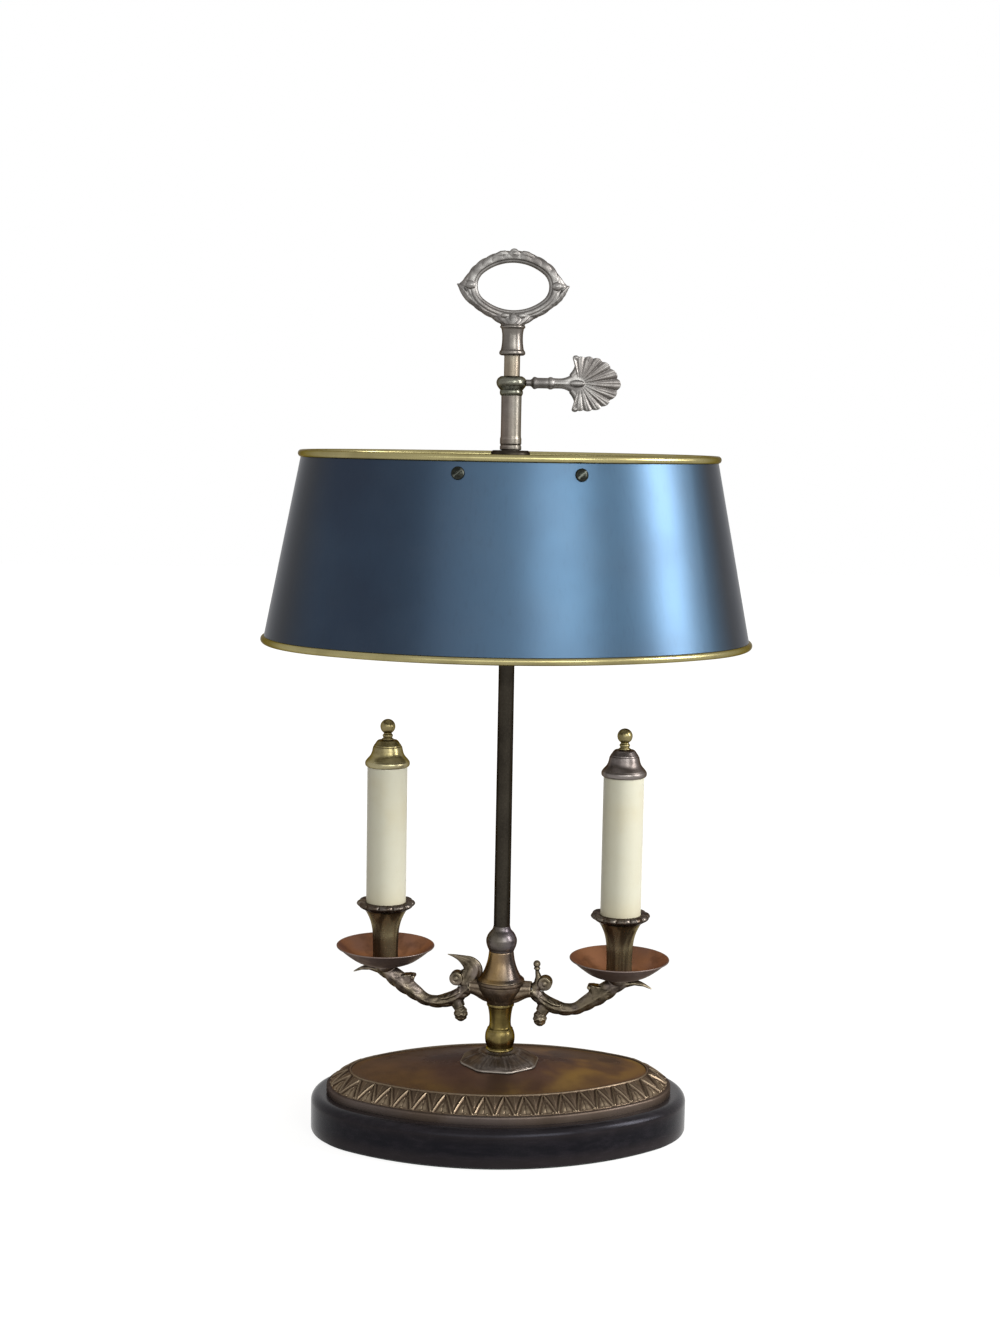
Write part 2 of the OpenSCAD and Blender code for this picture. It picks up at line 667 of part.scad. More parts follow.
module right_arm() {
    color([0.46, 0.4, 0.26]) rotate([0, 0, arm_turn]) difference() {
        union() {
            arm_body();
            arm_seat();
            scroll([[29, lug_z + 4, 3.4, 3.4], [29.6, lug_z + 10.5, 2.4, 2.4],
                [28.7, lug_z + 15, 1.7, 1.7], [28.5, lug_z + 19.5, 1.5, 1.5]], 3, 8);
            translate([28.4, 0, lug_z + 21]) sphere(r = 3, $fn = 12);
        }
        arm_cuts();
    }
}

module pan() {
    r = pan_d / 2;
    b = tie_d / 2 + 0.2;
    t = pan_t;
    h = pan_h;
    translate([0, 0, pan_z]) turned([[b, 0], [12, 0], [17, 0.7], [24, 3.4], [r - 7, h - 6.4],
        [r - 1.4, h - 1], [r, h - 0.4], [r - 0.2, h], [r - 1.2, h], [r - 7.6, h - 5],
        [23.2, 3.4 + t], [16.6, 0.7 + t], [12, t], [b, t]]);
}

module left_pan() {
    color([0.5, 0.3, 0.19]) at_candle(-1) pan();
}

module right_pan() {
    color([0.5, 0.3, 0.19]) at_candle(1) pan();
}

module cup() {
    b = tie_d / 2 + 0.2;
    h = cup_h;
    r = cup_d / 2;
    seat = candle_d / 2 + 0.1;
    color([0.42, 0.36, 0.25]) translate([0, 0, cup_z]) difference() {
        union() {
            turned([[b, 0], [11.8, 0], [12, 1.6], [10.6, 2.6], [9.9, 4.5], [9.9, 16],
                [10.6, 27], [12.2, 34], [14.7, 39.6], [16.6, h - 7.6], [r - 3, h - 5.6],
                [r - 1.6, h - 4], [r - 1.6, h - 1.6], [r - 2.6, h], [seat, h - 1.2],
                [seat, h - 3.2], [9, h - 3.2], [7.6, 34], [b, 34]]);
            for (i = [0:11]) rotate([0, 0, i * 30]) translate([r - 3.4, 0, h - 3])
                sphere(r = 3.4);
        }
        translate([0, 0, h - 3.2]) cylinder(r = seat, h = 10);
    }
}

module left_cup() {
    at_candle(-1) cup();
}

module right_cup() {
    at_candle(1) cup();
}

module candle() {
    r = candle_d / 2;
    color([0.88, 0.85, 0.76]) translate([0, 0, candle_z])
        turned([[r - candle_wall, 0], [r, 0], [r, candle_l], [r - candle_wall, candle_l]]);
}

module left_candle() {
    at_candle(-1) candle();
}

module right_candle() {
    at_candle(1) candle();
}

module cap() {
    r = cap_d / 2;
    b = tie_d / 2 + 0.2;
    i = candle_d / 2 - candle_wall - 0.2;
    h = cap_h;
    translate([0, 0, cap_z]) turned([[i - 1.2, -cap_skirt], [i, -cap_skirt], [i, 0], [r - 1, 0],
        [r, 1.2], [r, 2.4], [r - 1, 3.6], [r - 2, 4.6], [r - 4.2, 6.6], [r - 6, 9.4],
        [r - 7, 13], [r - 7.7, 15.6], [r - 8.6, 17], [r - 9.3, 18.4], [r - 9.4, h - 1.4],
        [r - 10.2, h - 0.6], [3.6, h], [b, h], [b, h - 2], [r - 12.05, h - 2.6],
        [r - 10.65, 12.5], [r - 8.05, 6.5], [i - 1.2, 2]]);
}

module left_cap() {
    color([0.72, 0.6, 0.3]) at_candle(-1) cap();
}

module right_cap() {
    color([0.4, 0.34, 0.28]) at_candle(1) cap();
}

module ball() {
    r = ball_d / 2;
    b = tie_d / 2 + 0.1;
    c = 4.6 + r;
    translate([0, 0, ball_z]) difference() {
        union() {
            turned([[0, 0], [4.6, 0], [4.6, 0.8], [3.5, 1.4], [3.5, 2.2], [4.1, 3], [4.1, 4],
                [3.3, 4.6], [3, 6], [0, 6]]);
            translate([0, 0, c]) sphere(r = r);
        }
        translate([0, 0, -1]) cylinder(r = b, h = 8);
    }
}

module left_ball() {
    color([0.75, 0.62, 0.3]) at_candle(-1) ball();
}

module right_ball() {
    color([0.75, 0.62, 0.3]) at_candle(1) ball();
}

module tie_rod() {
    color("silver") translate([0, 0, tie_z0]) cylinder(d = tie_d, h = tie_z1 - tie_z0);
}

module left_tie_rod() {
    at_candle(-1) tie_rod();
}

module right_tie_rod() {
    at_candle(1) tie_rod();
}

// ---------- Light cluster ----------

module cluster_body() {
    r = cluster_d / 2;
    h = cluster_h;
    color([0.6, 0.5, 0.28]) difference() {
        translate([0, 0, cluster_z]) turned([[0, 0], [r - 4, 0], [r - 1, 1.4], [r, 4], [r, h - 4],
            [r - 1, h - 1.4], [r - 4, h], [0, h]]);
        translate([0, 0, cluster_z - 1]) cylinder(d = pipe_d + 2 * loose_fit, h = h - 8);
        translate([0, 0, rod_z - 9]) cylinder(d = pipe_d + 2 * loose_fit, h = 20);
        translate([-30, 0, light_z]) rotate([0, 90, 0])
            cylinder(d = nipple_d + 2 * loose_fit, h = 60);
    }
}

module cluster_nipples() {
    color("silver") for (s = [0, 180]) rotate([0, 0, s])
        translate([7, 0, light_z]) rotate([0, 90, 0]) difference() {
            cylinder(d = nipple_d, h = cap_x + 3 - 7);
            translate([0, 0, -1]) cylinder(d = pipe_bore, h = 40);
        }
}

module socket_cap() {
    r = socket_d / 2;
    b = nipple_d / 2 + loose_fit;
    l = socket_cap_l;
    color([0.7, 0.58, 0.3]) translate([0, 0, light_z]) turned_x([[cap_x, b], [cap_x, 8],
        [cap_x + 2, 11], [cap_x + 5, r - 1.4], [cap_x + 8, r], [cap_x + l, r],
        [cap_x + l, r - 1], [cap_x + 8, r - 1], [cap_x + 5.6, r - 2.4], [cap_x + 3, 10],
        [cap_x + 3, b]]);
}

module left_socket_cap() {
    on_left() socket_cap();
}

module right_socket_cap() {
    on_right() socket_cap();
}

module socket_shell() {
    r = socket_d / 2;
    color([0.72, 0.6, 0.3]) translate([0, 0, light_z]) difference() {
        turned_x([[shell_x0, r - 0.8], [shell_x0, r], [shell_x0 + 4, r - 0.3],
            [shell_x1 - 3, r - 0.3], [shell_x1 - 2, r], [shell_x1, r - 0.4], [shell_x1, r - 1.2],
            [shell_x1 - 3, r - 1.1], [shell_x0 + 4, r - 1.1]]);
        translate([knob_x, 0, -r - 2]) cylinder(d = knob_stem_d + 2 * run_fit, h = 6);
    }
}

module left_socket_shell() {
    on_left() socket_shell();
}

module right_socket_shell() {
    on_right() socket_shell();
}

module socket_core() {
    r = socket_d / 2 - 1.3;
    color("ivory") translate([0, 0, light_z]) difference() {
        turned_x([[shell_x0 - 3, 0], [shell_x0 - 3, 9.4], [shell_x0 + 0.5, r], [shell_x1 - 4, r],
            [shell_x1 - 4, core_hollow], [shell_x0 + 8, core_hollow], [shell_x0 + 8, 0]]);
        translate([knob_x, 0, -r - 2]) cylinder(d = knob_stem_d + 2 * run_fit, h = r);
    }
}

module left_socket_core() {
    on_left() socket_core();
}

module right_socket_core() {
    on_right() socket_core();
}

module bulb_base() {
    color("silver") translate([0, 0, light_z]) turned_x([[shell_x0 + 8.3, 0],
        [shell_x0 + 8.3, 4], [shell_x0 + 10, 8], [shell_x0 + 11.5, 13], [shell_x1 - 2, 13],
        [shell_x1 - 2, 12.2], [shell_x0 + 12.5, 12.2], [shell_x0 + 12.5, 0]]);
}

module left_bulb_base() {
    on_left() bulb_base();
}

module right_bulb_base() {
    on_right() bulb_base();
}

module bulb() {
    r = bulb_d / 2;
    c = bulb_x1 - r;
    w = 1;
    color([1, 0.98, 0.9]) translate([0, 0, light_z]) turned_x(concat(
        [[shell_x0 + 14, 11], [shell_x0 + 14, 12.1], [shell_x1 - 1, 12.1], [shell_x1 + 4, 13.2],
            [c - r * 0.86, r * 0.66], [c - r * 0.5, r * 0.88]],
        [for (a = [105:-15:0]) [c + r * cos(a), r * sin(a)]],
        [for (a = [0:15:105]) [c + (r - w) * cos(a), (r - w) * sin(a)]],
        [[c - r * 0.5, r * 0.88 - w], [c - r * 0.86, r * 0.66 - w], [shell_x1 + 4, 12.1],
            [shell_x1 - 1, 11]]));
}

module left_bulb() {
    on_left() bulb();
}

module right_bulb() {
    on_right() bulb();
}

module switch_knob() {
    r = socket_d / 2;
    k = knob_d / 2;
    color("black") translate([knob_x, 0, light_z]) {
        translate([0, 0, -r - 6]) cylinder(d = knob_stem_d, h = r + 6 - core_hollow - 0.4);
        translate([0, 0, -r - 6 - knob_l]) turned([[0, 0], [k - 1, 0], [k, 1.2], [k, knob_l - 3],
            [k - 2.4, knob_l], [0, knob_l]]);
    }
}

module left_switch_knob() {
    on_left() switch_knob();
}

module right_switch_knob() {
    on_right() switch_knob();
}

// ---------- Rod and handle ----------

module upper_rod() {
    color([0.72, 0.66, 0.55]) {
        translate([0, 0, rod_z]) cylinder(d = rod_d, h = ferrule_z - rod_z + 9);
        translate([0, 0, rod_z - 8.5]) cylinder(d = pipe_d, h = 9);
    }
}

module handle_ferrule() {
    r = rod_d / 2 + 3.4;
    b = rod_d / 2 + loose_fit;
    h = ferrule_h;
    color([0.5, 0.48, 0.44]) translate([0, 0, ferrule_z]) turned([[b, 0], [r - 1, 0], [r + 0.5, 1.4],
        [r + 0.5, 2.6], [r - 0.4, 3.8], [r - 1.1, 5.4], [r - 1.6, 9], [r - 1.6, 13], [r - 0.8, 15.6],
        [r, 16.6], [r, 17.6], [r - 0.6, 18.2], [r - 0.3, h], [0, h], [0, 10], [b, 9.2]]);
}

module ring_handle() {
    t = ring_t / 2;
    l = ring_w - ring_t;
    w = ring_h - ring_t;
    z0 = ring_z0;
    color([0.52, 0.5, 0.46]) {
        translate([0, 0, ring_mid]) rotate([90, 0, 0]) oval_bead(l, w, ring_end_r)
            circle(r = t - $thin);
        // palmette at the foot
        hull() {
            translate([0, 0, z0]) cylinder(r = rod_d / 2 + 3.15, h = 1, $fn = 28);
            translate([0, 0, z0 + 2]) scale([1, 0.74, 1]) cylinder(r = 11.4, h = 1, $fn = 28);
            translate([0, 0, z0 + 5.2]) scale([1, 0.5, 1]) cylinder(r = 14.9, h = 1, $fn = 28);
            translate([0, 0, z0 + 9]) scale([1, 0.34, 1]) cylinder(r = 17.6, h = 1, $fn = 28);
        }
        // leaf that runs up the outside of each lower arc and ends in the side's point, with a
        // small volute at its root
        for (s = [0, 180]) rotate([0, 0, s]) translate([l / 2, 0, ring_mid]) {
            scroll([[-4.2, -14, 2.4, t - 1.4], [1, -9.4, 3, t - 1], [5, -4.2, 3, t - 1.6],
                [8.4, -0.4, 1.6, 2], [11, 1.2, 0.3, 0.5]], 2, 8);
            translate([0.6, t + 0.9, 0.4]) rotate([90, 0, 0]) cylinder(r = 3.4, h = ring_t + 1.8);
        }
        // crest between two leaf curls
        translate([0, 0, ring_mid + w / 2 + t - 2.6]) rotate([90, 0, 0])
            cylinder(r = 3.7, h = ring_t + 0.8, center = true);
        for (s = [-1, 1]) translate([s * 8.6, 0, ring_mid + w / 2 + 1.4]) rotate([90, 0, 0])
            cylinder(r = 2.5, h = ring_t + 0.4, center = true);
    }
}

// ---------- Clamp ----------

module clamp_collar() {
    b = rod_d / 2 + run_fit;
    r = collar_d / 2;
    h = collar_h;
    s = sleeve_d / 2;
    color([0.5, 0.5, 0.44]) translate([0, 0, collar_z]) difference() {
        turned([[b, 0], [s + 0.2, 0], [s + 0.8, 1], [s + 1, 2.6], [s + 0.7, 4],
            [s + 1.6, 4.8], [r - 1, 6.6], [r - 0.2, 8.2], [r, 9.9], [r - 0.3, 11.6],
            [r - 1.4, 13.2], [r - 3, h - 0.3], [r - 3.8, h], [b, h]]);
        translate([0, 0, key_z - collar_z]) rotate([0, 90, 0])
            cylinder(r = key_neck_r + run_fit, h = 30);
    }
}

module slide_sleeve() {
    b = rod_d / 2 + run_fit;
    s = sleeve_d / 2;
    tail = hub_t + 2 * face_gap + spider_nut_t + 1;
    l = sleeve_l;
    color([0.6, 0.55, 0.48]) translate([0, 0, sleeve_z]) turned([[b, -tail],
        [spider_bore - run_fit, -tail], [spider_bore - run_fit, 0], [s + 0.2, 0], [s + 0.4, 1],
        [s + 0.4, 3], [s, 3.8], [s + 0.4, 4.6], [s + 0.4, 8.6], [s, 10], [s - 0.1, 20],
        [s, l], [b, l]]);
}

module spider_nut() {
    color("goldenrod") translate([0, 0, nut_z - spider_nut_t]) difference() {
        cylinder(r = (spider_bore + 2.6) / cos(30), h = spider_nut_t, $fn = 6);
        translate([0, 0, -1]) cylinder(r = spider_bore, h = spider_nut_t + 2);
    }
}

// Outline of the fan: eleven lobes, the middle one longest, that end in a point
function fan_r(a) = shell_r * (0.65 + 0.29 * pow(cos(a * 0.95), 2) + 0.06 * exp(-a * a / 260))
    * (1 - 0.06 * (1 - abs(cos(a * 10))));
// One radial section of the fan at the angle a
function fan_section(a) = let (r = fan_r(a), up = abs(cos(a * 10)))
    [for (q = [[0.06, 1.6], [0.35, 2 + 0.7 * up], [0.75, 1.6 + 1.4 * up], [1, 0.9 + 0.8 * up],
        [1, -0.7], [0.75, -1.2 - 0.4 * up], [0.35, -1.7], [0.06, -1.6]])
        [q[0] * r * cos(a), -q[1], q[0] * r * sin(a)]];

module shell_key() {
    tip = rod_d / 2 + 0.35;
    color([0.55, 0.53, 0.47]) translate([0, 0, key_z]) {
        turned_x([[tip, 0], [tip, key_neck_r], [collar_d / 2 + 3, key_neck_r],
            [collar_d / 2 + 4, 3.2], [collar_d / 2 + 5, 4.4], [collar_d / 2 + 6.6, 4.7],
            [collar_d / 2 + 7.6, 4.1], [28, 4.1], [29, 4.7], [31, 4.4], [32, 3.4], [33, 0]]);
        scroll([[30, 0, 4, 4], [36, 0, 3.9, 3.7], [42, 0, 4.6, 3.2], [48, 0, 9, 2.6],
            [shell_x + 4, 0, 11, 2]], 3, 12);
        translate([shell_x, 0, 0]) skin([for (a = [-99:4.5:99]) fan_section(a)]);
        // rolled corners
        for (s = [-1, 1]) translate([shell_x - 2.6, 0.6, s * 0.61 * shell_r]) rotate([90, 0, 0])
            cylinder(r = 2, h = 2.6, $fn = 20);
    }
}

// ---------- Shade ----------

module shade_shell() {
    color([0.1, 0.13, 0.18]) difference() {
        oval_turn(shade_l, shade_w, shade_end_r)
            polygon([[-sheet, shade_z + edge_in], [0, shade_z + edge_in],
                [-shade_flare, shade_z1 - edge_in], [-shade_flare - sheet, shade_z1 - edge_in]]);
        at_screws() translate([-3, 0, 0]) rotate([0, 90, 0])
            cylinder(d = screw_d + 2 * loose_fit, h = 5);
    }
}

// Section of a rolled rim round [x, z], slotted for the sheet's edge; turn 180 slots it from below
module rim_section(x, z, turn) {
    g = sheet / 2 + slot_fit + $thin / 2;
    translate([x, z]) difference() {
        circle(r = rim_d / 2 - $thin);
        rotate(turn) translate([0, 2 * edge_in]) rotate(tilt) translate([-g, -slot_fit])
            square([2 * g, rim_d]);
    }
}

module shade_top_rim() {
    color([0.8, 0.66, 0.3]) oval_bead(shade_l, shade_w, shade_end_r)
        rim_section(-shade_flare - sheet / 2, shade_z1 + edge_in, 180);
}

module shade_bottom_rim() {
    color([0.8, 0.66, 0.3]) oval_bead(shade_l, shade_w, shade_end_r)
        rim_section(-sheet / 2, shade_z - edge_in, 0);
}

// Where the spider's straps meet the shade: half the pitch across, on the inside of the sheet
side_r = oval_side_r(shade_l, shade_w, shade_end_r);
screw_off = shade_slope * (screw_z - shade_z - edge_in);
screw_r = side_r - screw_off;
screw_a = asin(screw_pitch / 2 / screw_r);
screw_y = screw_r * cos(screw_a) - (side_r - shade_w / 2);

// Puts its children at each spider screw, with +X pointing out of the sheet
module at_screws() {
    for (sx = [0, 1], sy = [0, 1]) mirror([sx, 0, 0]) mirror([0, sy, 0])
        translate([screw_pitch / 2, screw_y, screw_z]) rotate([0, 0, 90 - screw_a])
            rotate([0, -tilt, 0]) children();
}

module shade_spider() {
    reach = norm([screw_pitch / 2, screw_y]);
    aim = atan2(screw_y, screw_pitch / 2);
    color([0.3, 0.27, 0.24]) {
        translate([0, 0, spider_z]) turned([[spider_bore, 0], [spider_hub_r - 1, 0],
            [spider_hub_r, 1], [spider_hub_r, hub_t - 1.5], [spider_hub_r - 1.5, hub_t],
            [spider_bore, hub_t]]);
        for (sx = [0, 1], sy = [0, 1]) mirror([sx, 0, 0]) mirror([0, sy, 0])
            rotate([0, 0, aim]) spider_strap(reach - sheet - 2.4);
        at_screws() translate([-sheet - tab_t - 0.1, -strap_w / 2, -5]) difference() {
            cube([tab_t, strap_w, 5 + strap_end]);
            translate([-1, strap_w / 2, 5]) rotate([0, 90, 0])
                cylinder(d = screw_d + 2 * loose_fit, h = tab_t + 2);
        }
    }
}

// A strap that leaves the foot of the hub level and slopes down to the screw
module spider_strap(l) {
    t = strap_t;
    z = spider_z + hub_t - spider_drop;
    r = spider_hub_r;
    rotate([90, 0, 0]) translate([0, 0, -strap_w / 2]) linear_extrude(strap_w) polygon([
        [r - 1.5, z - t], [r - 1.5, z], [r + 7, z], [r + 17, z - 0.4], [r + 25, z - 1.4],
        [l - 34, screw_z + strap_end + 0.6], [l - 12, screw_z + strap_end],
        [l, screw_z + strap_end], [l, screw_z + strap_end - t],
        [l - 13, screw_z + strap_end - t], [l - 35, screw_z + strap_end + 0.6 - t],
        [r + 24, z - 1.4 - t], [r + 16, z - 0.4 - t], [r + 7, z - t]]);
}

module shade_screws() {
    r = screw_head_d / 2;
    color([0.3, 0.25, 0.15]) at_screws() turned_x([[-8, 0], [-8, screw_d / 2],
        [0.1, screw_d / 2], [0.1, r], [1, r], [2.2, r * 0.8], [3, r * 0.4], [3.2, 0]]);
}

module shade_nuts() {
    color("goldenrod") at_screws() translate([-sheet - tab_t - 0.15, 0, 0]) rotate([0, -90, 0])
        difference() {
            cylinder(d = 7 / cos(30), h = 3, $fn = 6);
            translate([0, 0, -1]) cylinder(d = screw_d + 0.1, h = 5);
        }
}

felt_pad();
wood_plinth();
cord_bushing();
base_nut();
base_washer();
base_dish();
foot_boss();
lower_baluster();
arm_hub();
arm_studs();
bell_cone();
column_knop();
column_tube();
centre_pipe();
inner_wire();
left_arm();
right_arm();
left_pan();
right_pan();
left_cup();
right_cup();
left_candle();
right_candle();
left_cap();
right_cap();
left_ball();
right_ball();
left_tie_rod();
right_tie_rod();
cluster_body();
cluster_nipples();
left_socket_cap();
right_socket_cap();
left_socket_shell();
right_socket_shell();
left_socket_core();
right_socket_core();
left_bulb();
right_bulb();
left_bulb_base();
right_bulb_base();
upper_rod();
handle_ferrule();
ring_handle();
clamp_collar();
slide_sleeve();
spider_nut();
shell_key();
shade_shell();
shade_top_rim();
shade_bottom_rim();
shade_spider();
shade_screws();
shade_nuts();
left_switch_knob();
right_switch_knob();
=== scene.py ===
import math

import bmesh
import bpy
import numpy as np
from bpy.props import FloatProperty, FloatVectorProperty, IntProperty, PointerProperty
from bpy.types import Operator, Panel, PropertyGroup
from mathutils import Matrix, Vector


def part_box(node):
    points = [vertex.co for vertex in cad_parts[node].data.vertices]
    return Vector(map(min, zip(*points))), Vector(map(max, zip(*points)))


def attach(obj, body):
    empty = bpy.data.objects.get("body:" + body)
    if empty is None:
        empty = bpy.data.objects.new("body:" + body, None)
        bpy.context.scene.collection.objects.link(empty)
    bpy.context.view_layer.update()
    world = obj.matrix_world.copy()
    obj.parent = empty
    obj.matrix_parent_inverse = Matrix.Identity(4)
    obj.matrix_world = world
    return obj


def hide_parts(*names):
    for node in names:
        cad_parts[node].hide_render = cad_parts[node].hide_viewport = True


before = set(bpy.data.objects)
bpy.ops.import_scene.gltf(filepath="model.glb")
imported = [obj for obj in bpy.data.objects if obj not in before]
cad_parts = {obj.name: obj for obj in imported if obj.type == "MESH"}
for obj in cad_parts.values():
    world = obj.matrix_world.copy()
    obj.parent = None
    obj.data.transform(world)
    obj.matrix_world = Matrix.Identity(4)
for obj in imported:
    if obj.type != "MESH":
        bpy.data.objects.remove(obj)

bl_info = {"name": "Bouillotte Lamp", "version": (1, 0, 0), "blender": (4, 5, 0),
    "location": "3D View > Sidebar > Lamp",
    "description": "Builds the finished pieces and the studio of a two-light bouillotte lamp",
    "category": "Object",}

MM = 0.001
# least radius of a turned shape, in millimetres, and how near two points are one, in metres
TINY, WELD = 1e-4, 2e-7
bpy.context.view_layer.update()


def tone(red, green, blue):
    """A colour as it looks on a screen, 0 to 255, as Blender's linear numbers."""
    def linear(value):
        value /= 255
        return value / 12.92 if value <= 0.04045 else ((value + 0.055) / 1.055) ** 2.4
    return (linear(red), linear(green), linear(blue), 1.0)


# ---------- Sizes and colours that a user may change ----------


def length(name, description, millimetres, low, high):
    """A size of the panel, with its limits."""
    return FloatProperty(name=name, description=description, default=millimetres * MM, min=low * MM,
        max=high * MM, unit="LENGTH", precision=4)


def colour(name, description, *rgb):
    """A colour of the panel, from its tone on a screen."""
    return FloatVectorProperty(name=name, description=description, default=tone(*rgb), size=4,
        min=0, max=1, subtype="COLOR")


class LampSizes(PropertyGroup):
    """Sizes of the ornament that the finished pieces carry."""
    leaf_relief: length("Leaf relief", "Height of the leaves on the dish's border", 1.15, 0.3, 2)
    leaves_end: IntProperty(name="End leaves", description="Leaves round each end of the dish",
        default=5, min=3, max=8)
    leaves_side: IntProperty(name="Side leaves", description="Leaves along each side of the dish",
        default=15, min=9, max=20)
    pearl: length("Pearl", "Diameter of the pearls at the foot of the border", 2.4, 1, 4)
    pearls: IntProperty(name="Pearls", description="Pearls round the foot of the border",
        default=80, min=40, max=120)
    hub_relief: length("Hub relief", "Height of the leaves on the arm hub", 0.75, 0.2, 1.5)
    foot_relief: length("Foot relief", "Height of the leaves on the foot", 0.9, 0.2, 1.5)
    handle_relief: length("Handle relief", "Height of the leaves on the ring handle", 0.8, 0.1, 1)
    lobes: IntProperty(name="Cup lobes", description="Lobes round each cup's rim", default=12,
        min=8, max=16)
    ribs: IntProperty(name="Knob ribs", description="Ribs round each switch knob", default=24,
        min=12, max=36)
    arm_voxel: length("Arm grain", "Size of the steps that fuse the arms' scrolls", 0.42, 0.3, 1)
    rim: length("Rim", "Diameter of the shade's rolled rims", 5.6, 4, 7)


class LampColours(PropertyGroup):
    """Colours of the finishes."""
    shade: colour("Shade", "Satin navy paint of the shade", 29, 41, 58)
    # painted light: the paint that the shade's right side is mixed towards, a painted lit side
    # lighter and bluer than the rest
    shade_lit_side: colour("Faded shade", "Paint of the shade where it has faded", 55, 81, 103)
    inside: colour("Shade inside", "Paint inside the shade", 205, 200, 188)
    gold: colour("Rim brass", "Polished brass of the rims", 152, 143, 102)
    arm: colour("Arm brass", "Brass of the cast arms", 104, 94, 78)
    # also darkens the arms' hollows: patina and painted shade
    arm_dark: colour("Arm patina", "Patina in the arms' hollows", 34, 28, 20)
    olive: colour("Baluster brass", "Olive brass of the baluster", 130, 115, 68)
    bell: colour("Bell brass", "Orange brass of the bell", 132, 108, 70)
    mauve: colour("Hub brass", "Mauve-brown brass of the hub and foot", 98, 85, 74)
    bronze: colour("Dark bronze", "Bronze of knop and cap", 82, 77, 68)
    tube: colour("Column bronze", "Dark bronze of the column tube", 46, 42, 36)
    pewter: colour("Handle metal", "Greyed brass of handle, collar and key", 128, 125, 122)
    # also darkens the handle's hollows: patina and painted shade
    pewter_dark: colour("Handle patina", "Patina in the handle's hollows", 64, 60, 59)
    rod: colour("Rod brass", "Pale brass of the rod", 130, 125, 114)
    dish: colour("Dish brass", "Brown brass of the dish's field", 112, 91, 62)
    border: colour("Border brass", "Brass of the leaf border", 94, 80, 66)
    copper: colour("Pan copper", "Red-brown inside of the drip pans", 142, 98, 70)
    candle: colour("Candle cream", "Cream of the candle sleeves", 202, 199, 180)
    wood: colour("Black wood", "Ebonised wood of the plinth", 10, 9, 12)
    felt: colour("Felt", "Felt under the plinth", 30, 44, 36)


# ---------- Places, outlines and profiles, in millimetres ----------


def spot(node):
    """Axis and heights of a CAD node: x, y, lowest z, highest z."""
    low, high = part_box(node)
    return ((low.x + high.x) / 2 / MM, (low.y + high.y) / 2 / MM, low.z / MM, high.z / MM)


def span(node, axis):
    """Size of a CAD node along an axis, 0 to 2."""
    low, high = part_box(node)
    return (high[axis] - low[axis]) / MM


def reach(node):
    """Radius and height of a turned CAD node."""
    return span(node, 0) / 2, span(node, 2)


def middle(node):
    """Height of a CAD node's middle."""
    low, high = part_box(node)
    return (low.z + high.z) / 2 / MM


CANDLE_X, CANDLE_Y = spot("right_candle")[:2]
ARM_TURN, ARM_REACH = math.atan2(CANDLE_Y, CANDLE_X), math.hypot(CANDLE_X, CANDLE_Y)
# bore of the pieces on the centre pipe, and end radii of the plinth's and the shade's ovals
BORE, PLINTH_END_R, SHADE_END_R = 4.85, 66, 112
# how far the shade leans in, its sheet, and its screws' distance from the middle
SHADE_FLARE, SHEET, SCREW_X = 27.8, 0.8, 44


def side_radius(length_mm, width_mm, end_r):
    """Radius of the long sides of a four-centre oval."""
    return ((length_mm / 2 - end_r) ** 2 + (width_mm / 2) ** 2 - end_r ** 2) / (width_mm - 2
        * end_r)


def oval_line(length_mm, width_mm, end_r, count_end, count_side, columns=None):
    """Points round a four-centre oval, as centres, radii and outward directions. Columns are the
    places, 0 to 1, of the points in each repeat of a pattern; without them the points are even."""
    side_r = side_radius(length_mm, width_mm, end_r)
    turn = math.atan2(side_r - width_mm / 2, length_mm / 2 - end_r)
    e, d = length_mm / 2 - end_r, side_r - width_mm / 2
    centres, radii, ways = [], [], []
    repeat = 1 if columns is None else len(columns)
    for x, y, r, a0, a1, count in ((e, 0, end_r, -turn, turn, count_end),
            (0, -d, side_r, turn, math.pi - turn, count_side),
            (-e, 0, end_r, math.pi - turn, math.pi + turn, count_end),
            (0, d, side_r, math.pi + turn, 2 * math.pi - turn, count_side)):
        for i in range(count):
            step = i if columns is None else i // repeat * repeat + columns[i % repeat] * repeat
            a = a0 + (a1 - a0) * step / count
            centres.append((x, y))
            radii.append(r)
            ways.append((math.cos(a), math.sin(a)))
    return np.array(centres), np.array(radii), np.array(ways)


def plinth_line(count_end, count_side, columns=None):
    """The oval of the plinth's side."""
    return oval_line(span("wood_plinth", 0), span("wood_plinth", 1), PLINTH_END_R, count_end,
        count_side, columns)


def leaf_columns(edge):
    """Places across a leaf of the border, crowded about its two edges, edge from its middle."""
    below, above = min(0.2, 0.9 * edge), min(0.2, 0.9 * (1 - edge))
    low, high = edge - below, edge + above
    half = np.array([0, min(0.06, 0.3 * low), 0.45 * low, 0.8 * low]
        + [edge - below * k for k in (1, 0.65, 0.33)] + [edge]
        + [edge + above * k for k in (0.33, 0.65, 1)]
        + [high + (1 - high) * k for k in (0.3, 0.6, 0.85)])
    return np.concatenate([0.5 - np.append(1.0, half[:0:-1]) / 2, 0.5 + half / 2])


def oval_ring(line, out, z):
    """The oval moved outward by out, at the height z; both may be arrays over the points."""
    centres, radii, ways = line
    flat = centres + (radii + out)[:, None] * ways
    return np.column_stack([flat, np.broadcast_to(z, len(flat))])


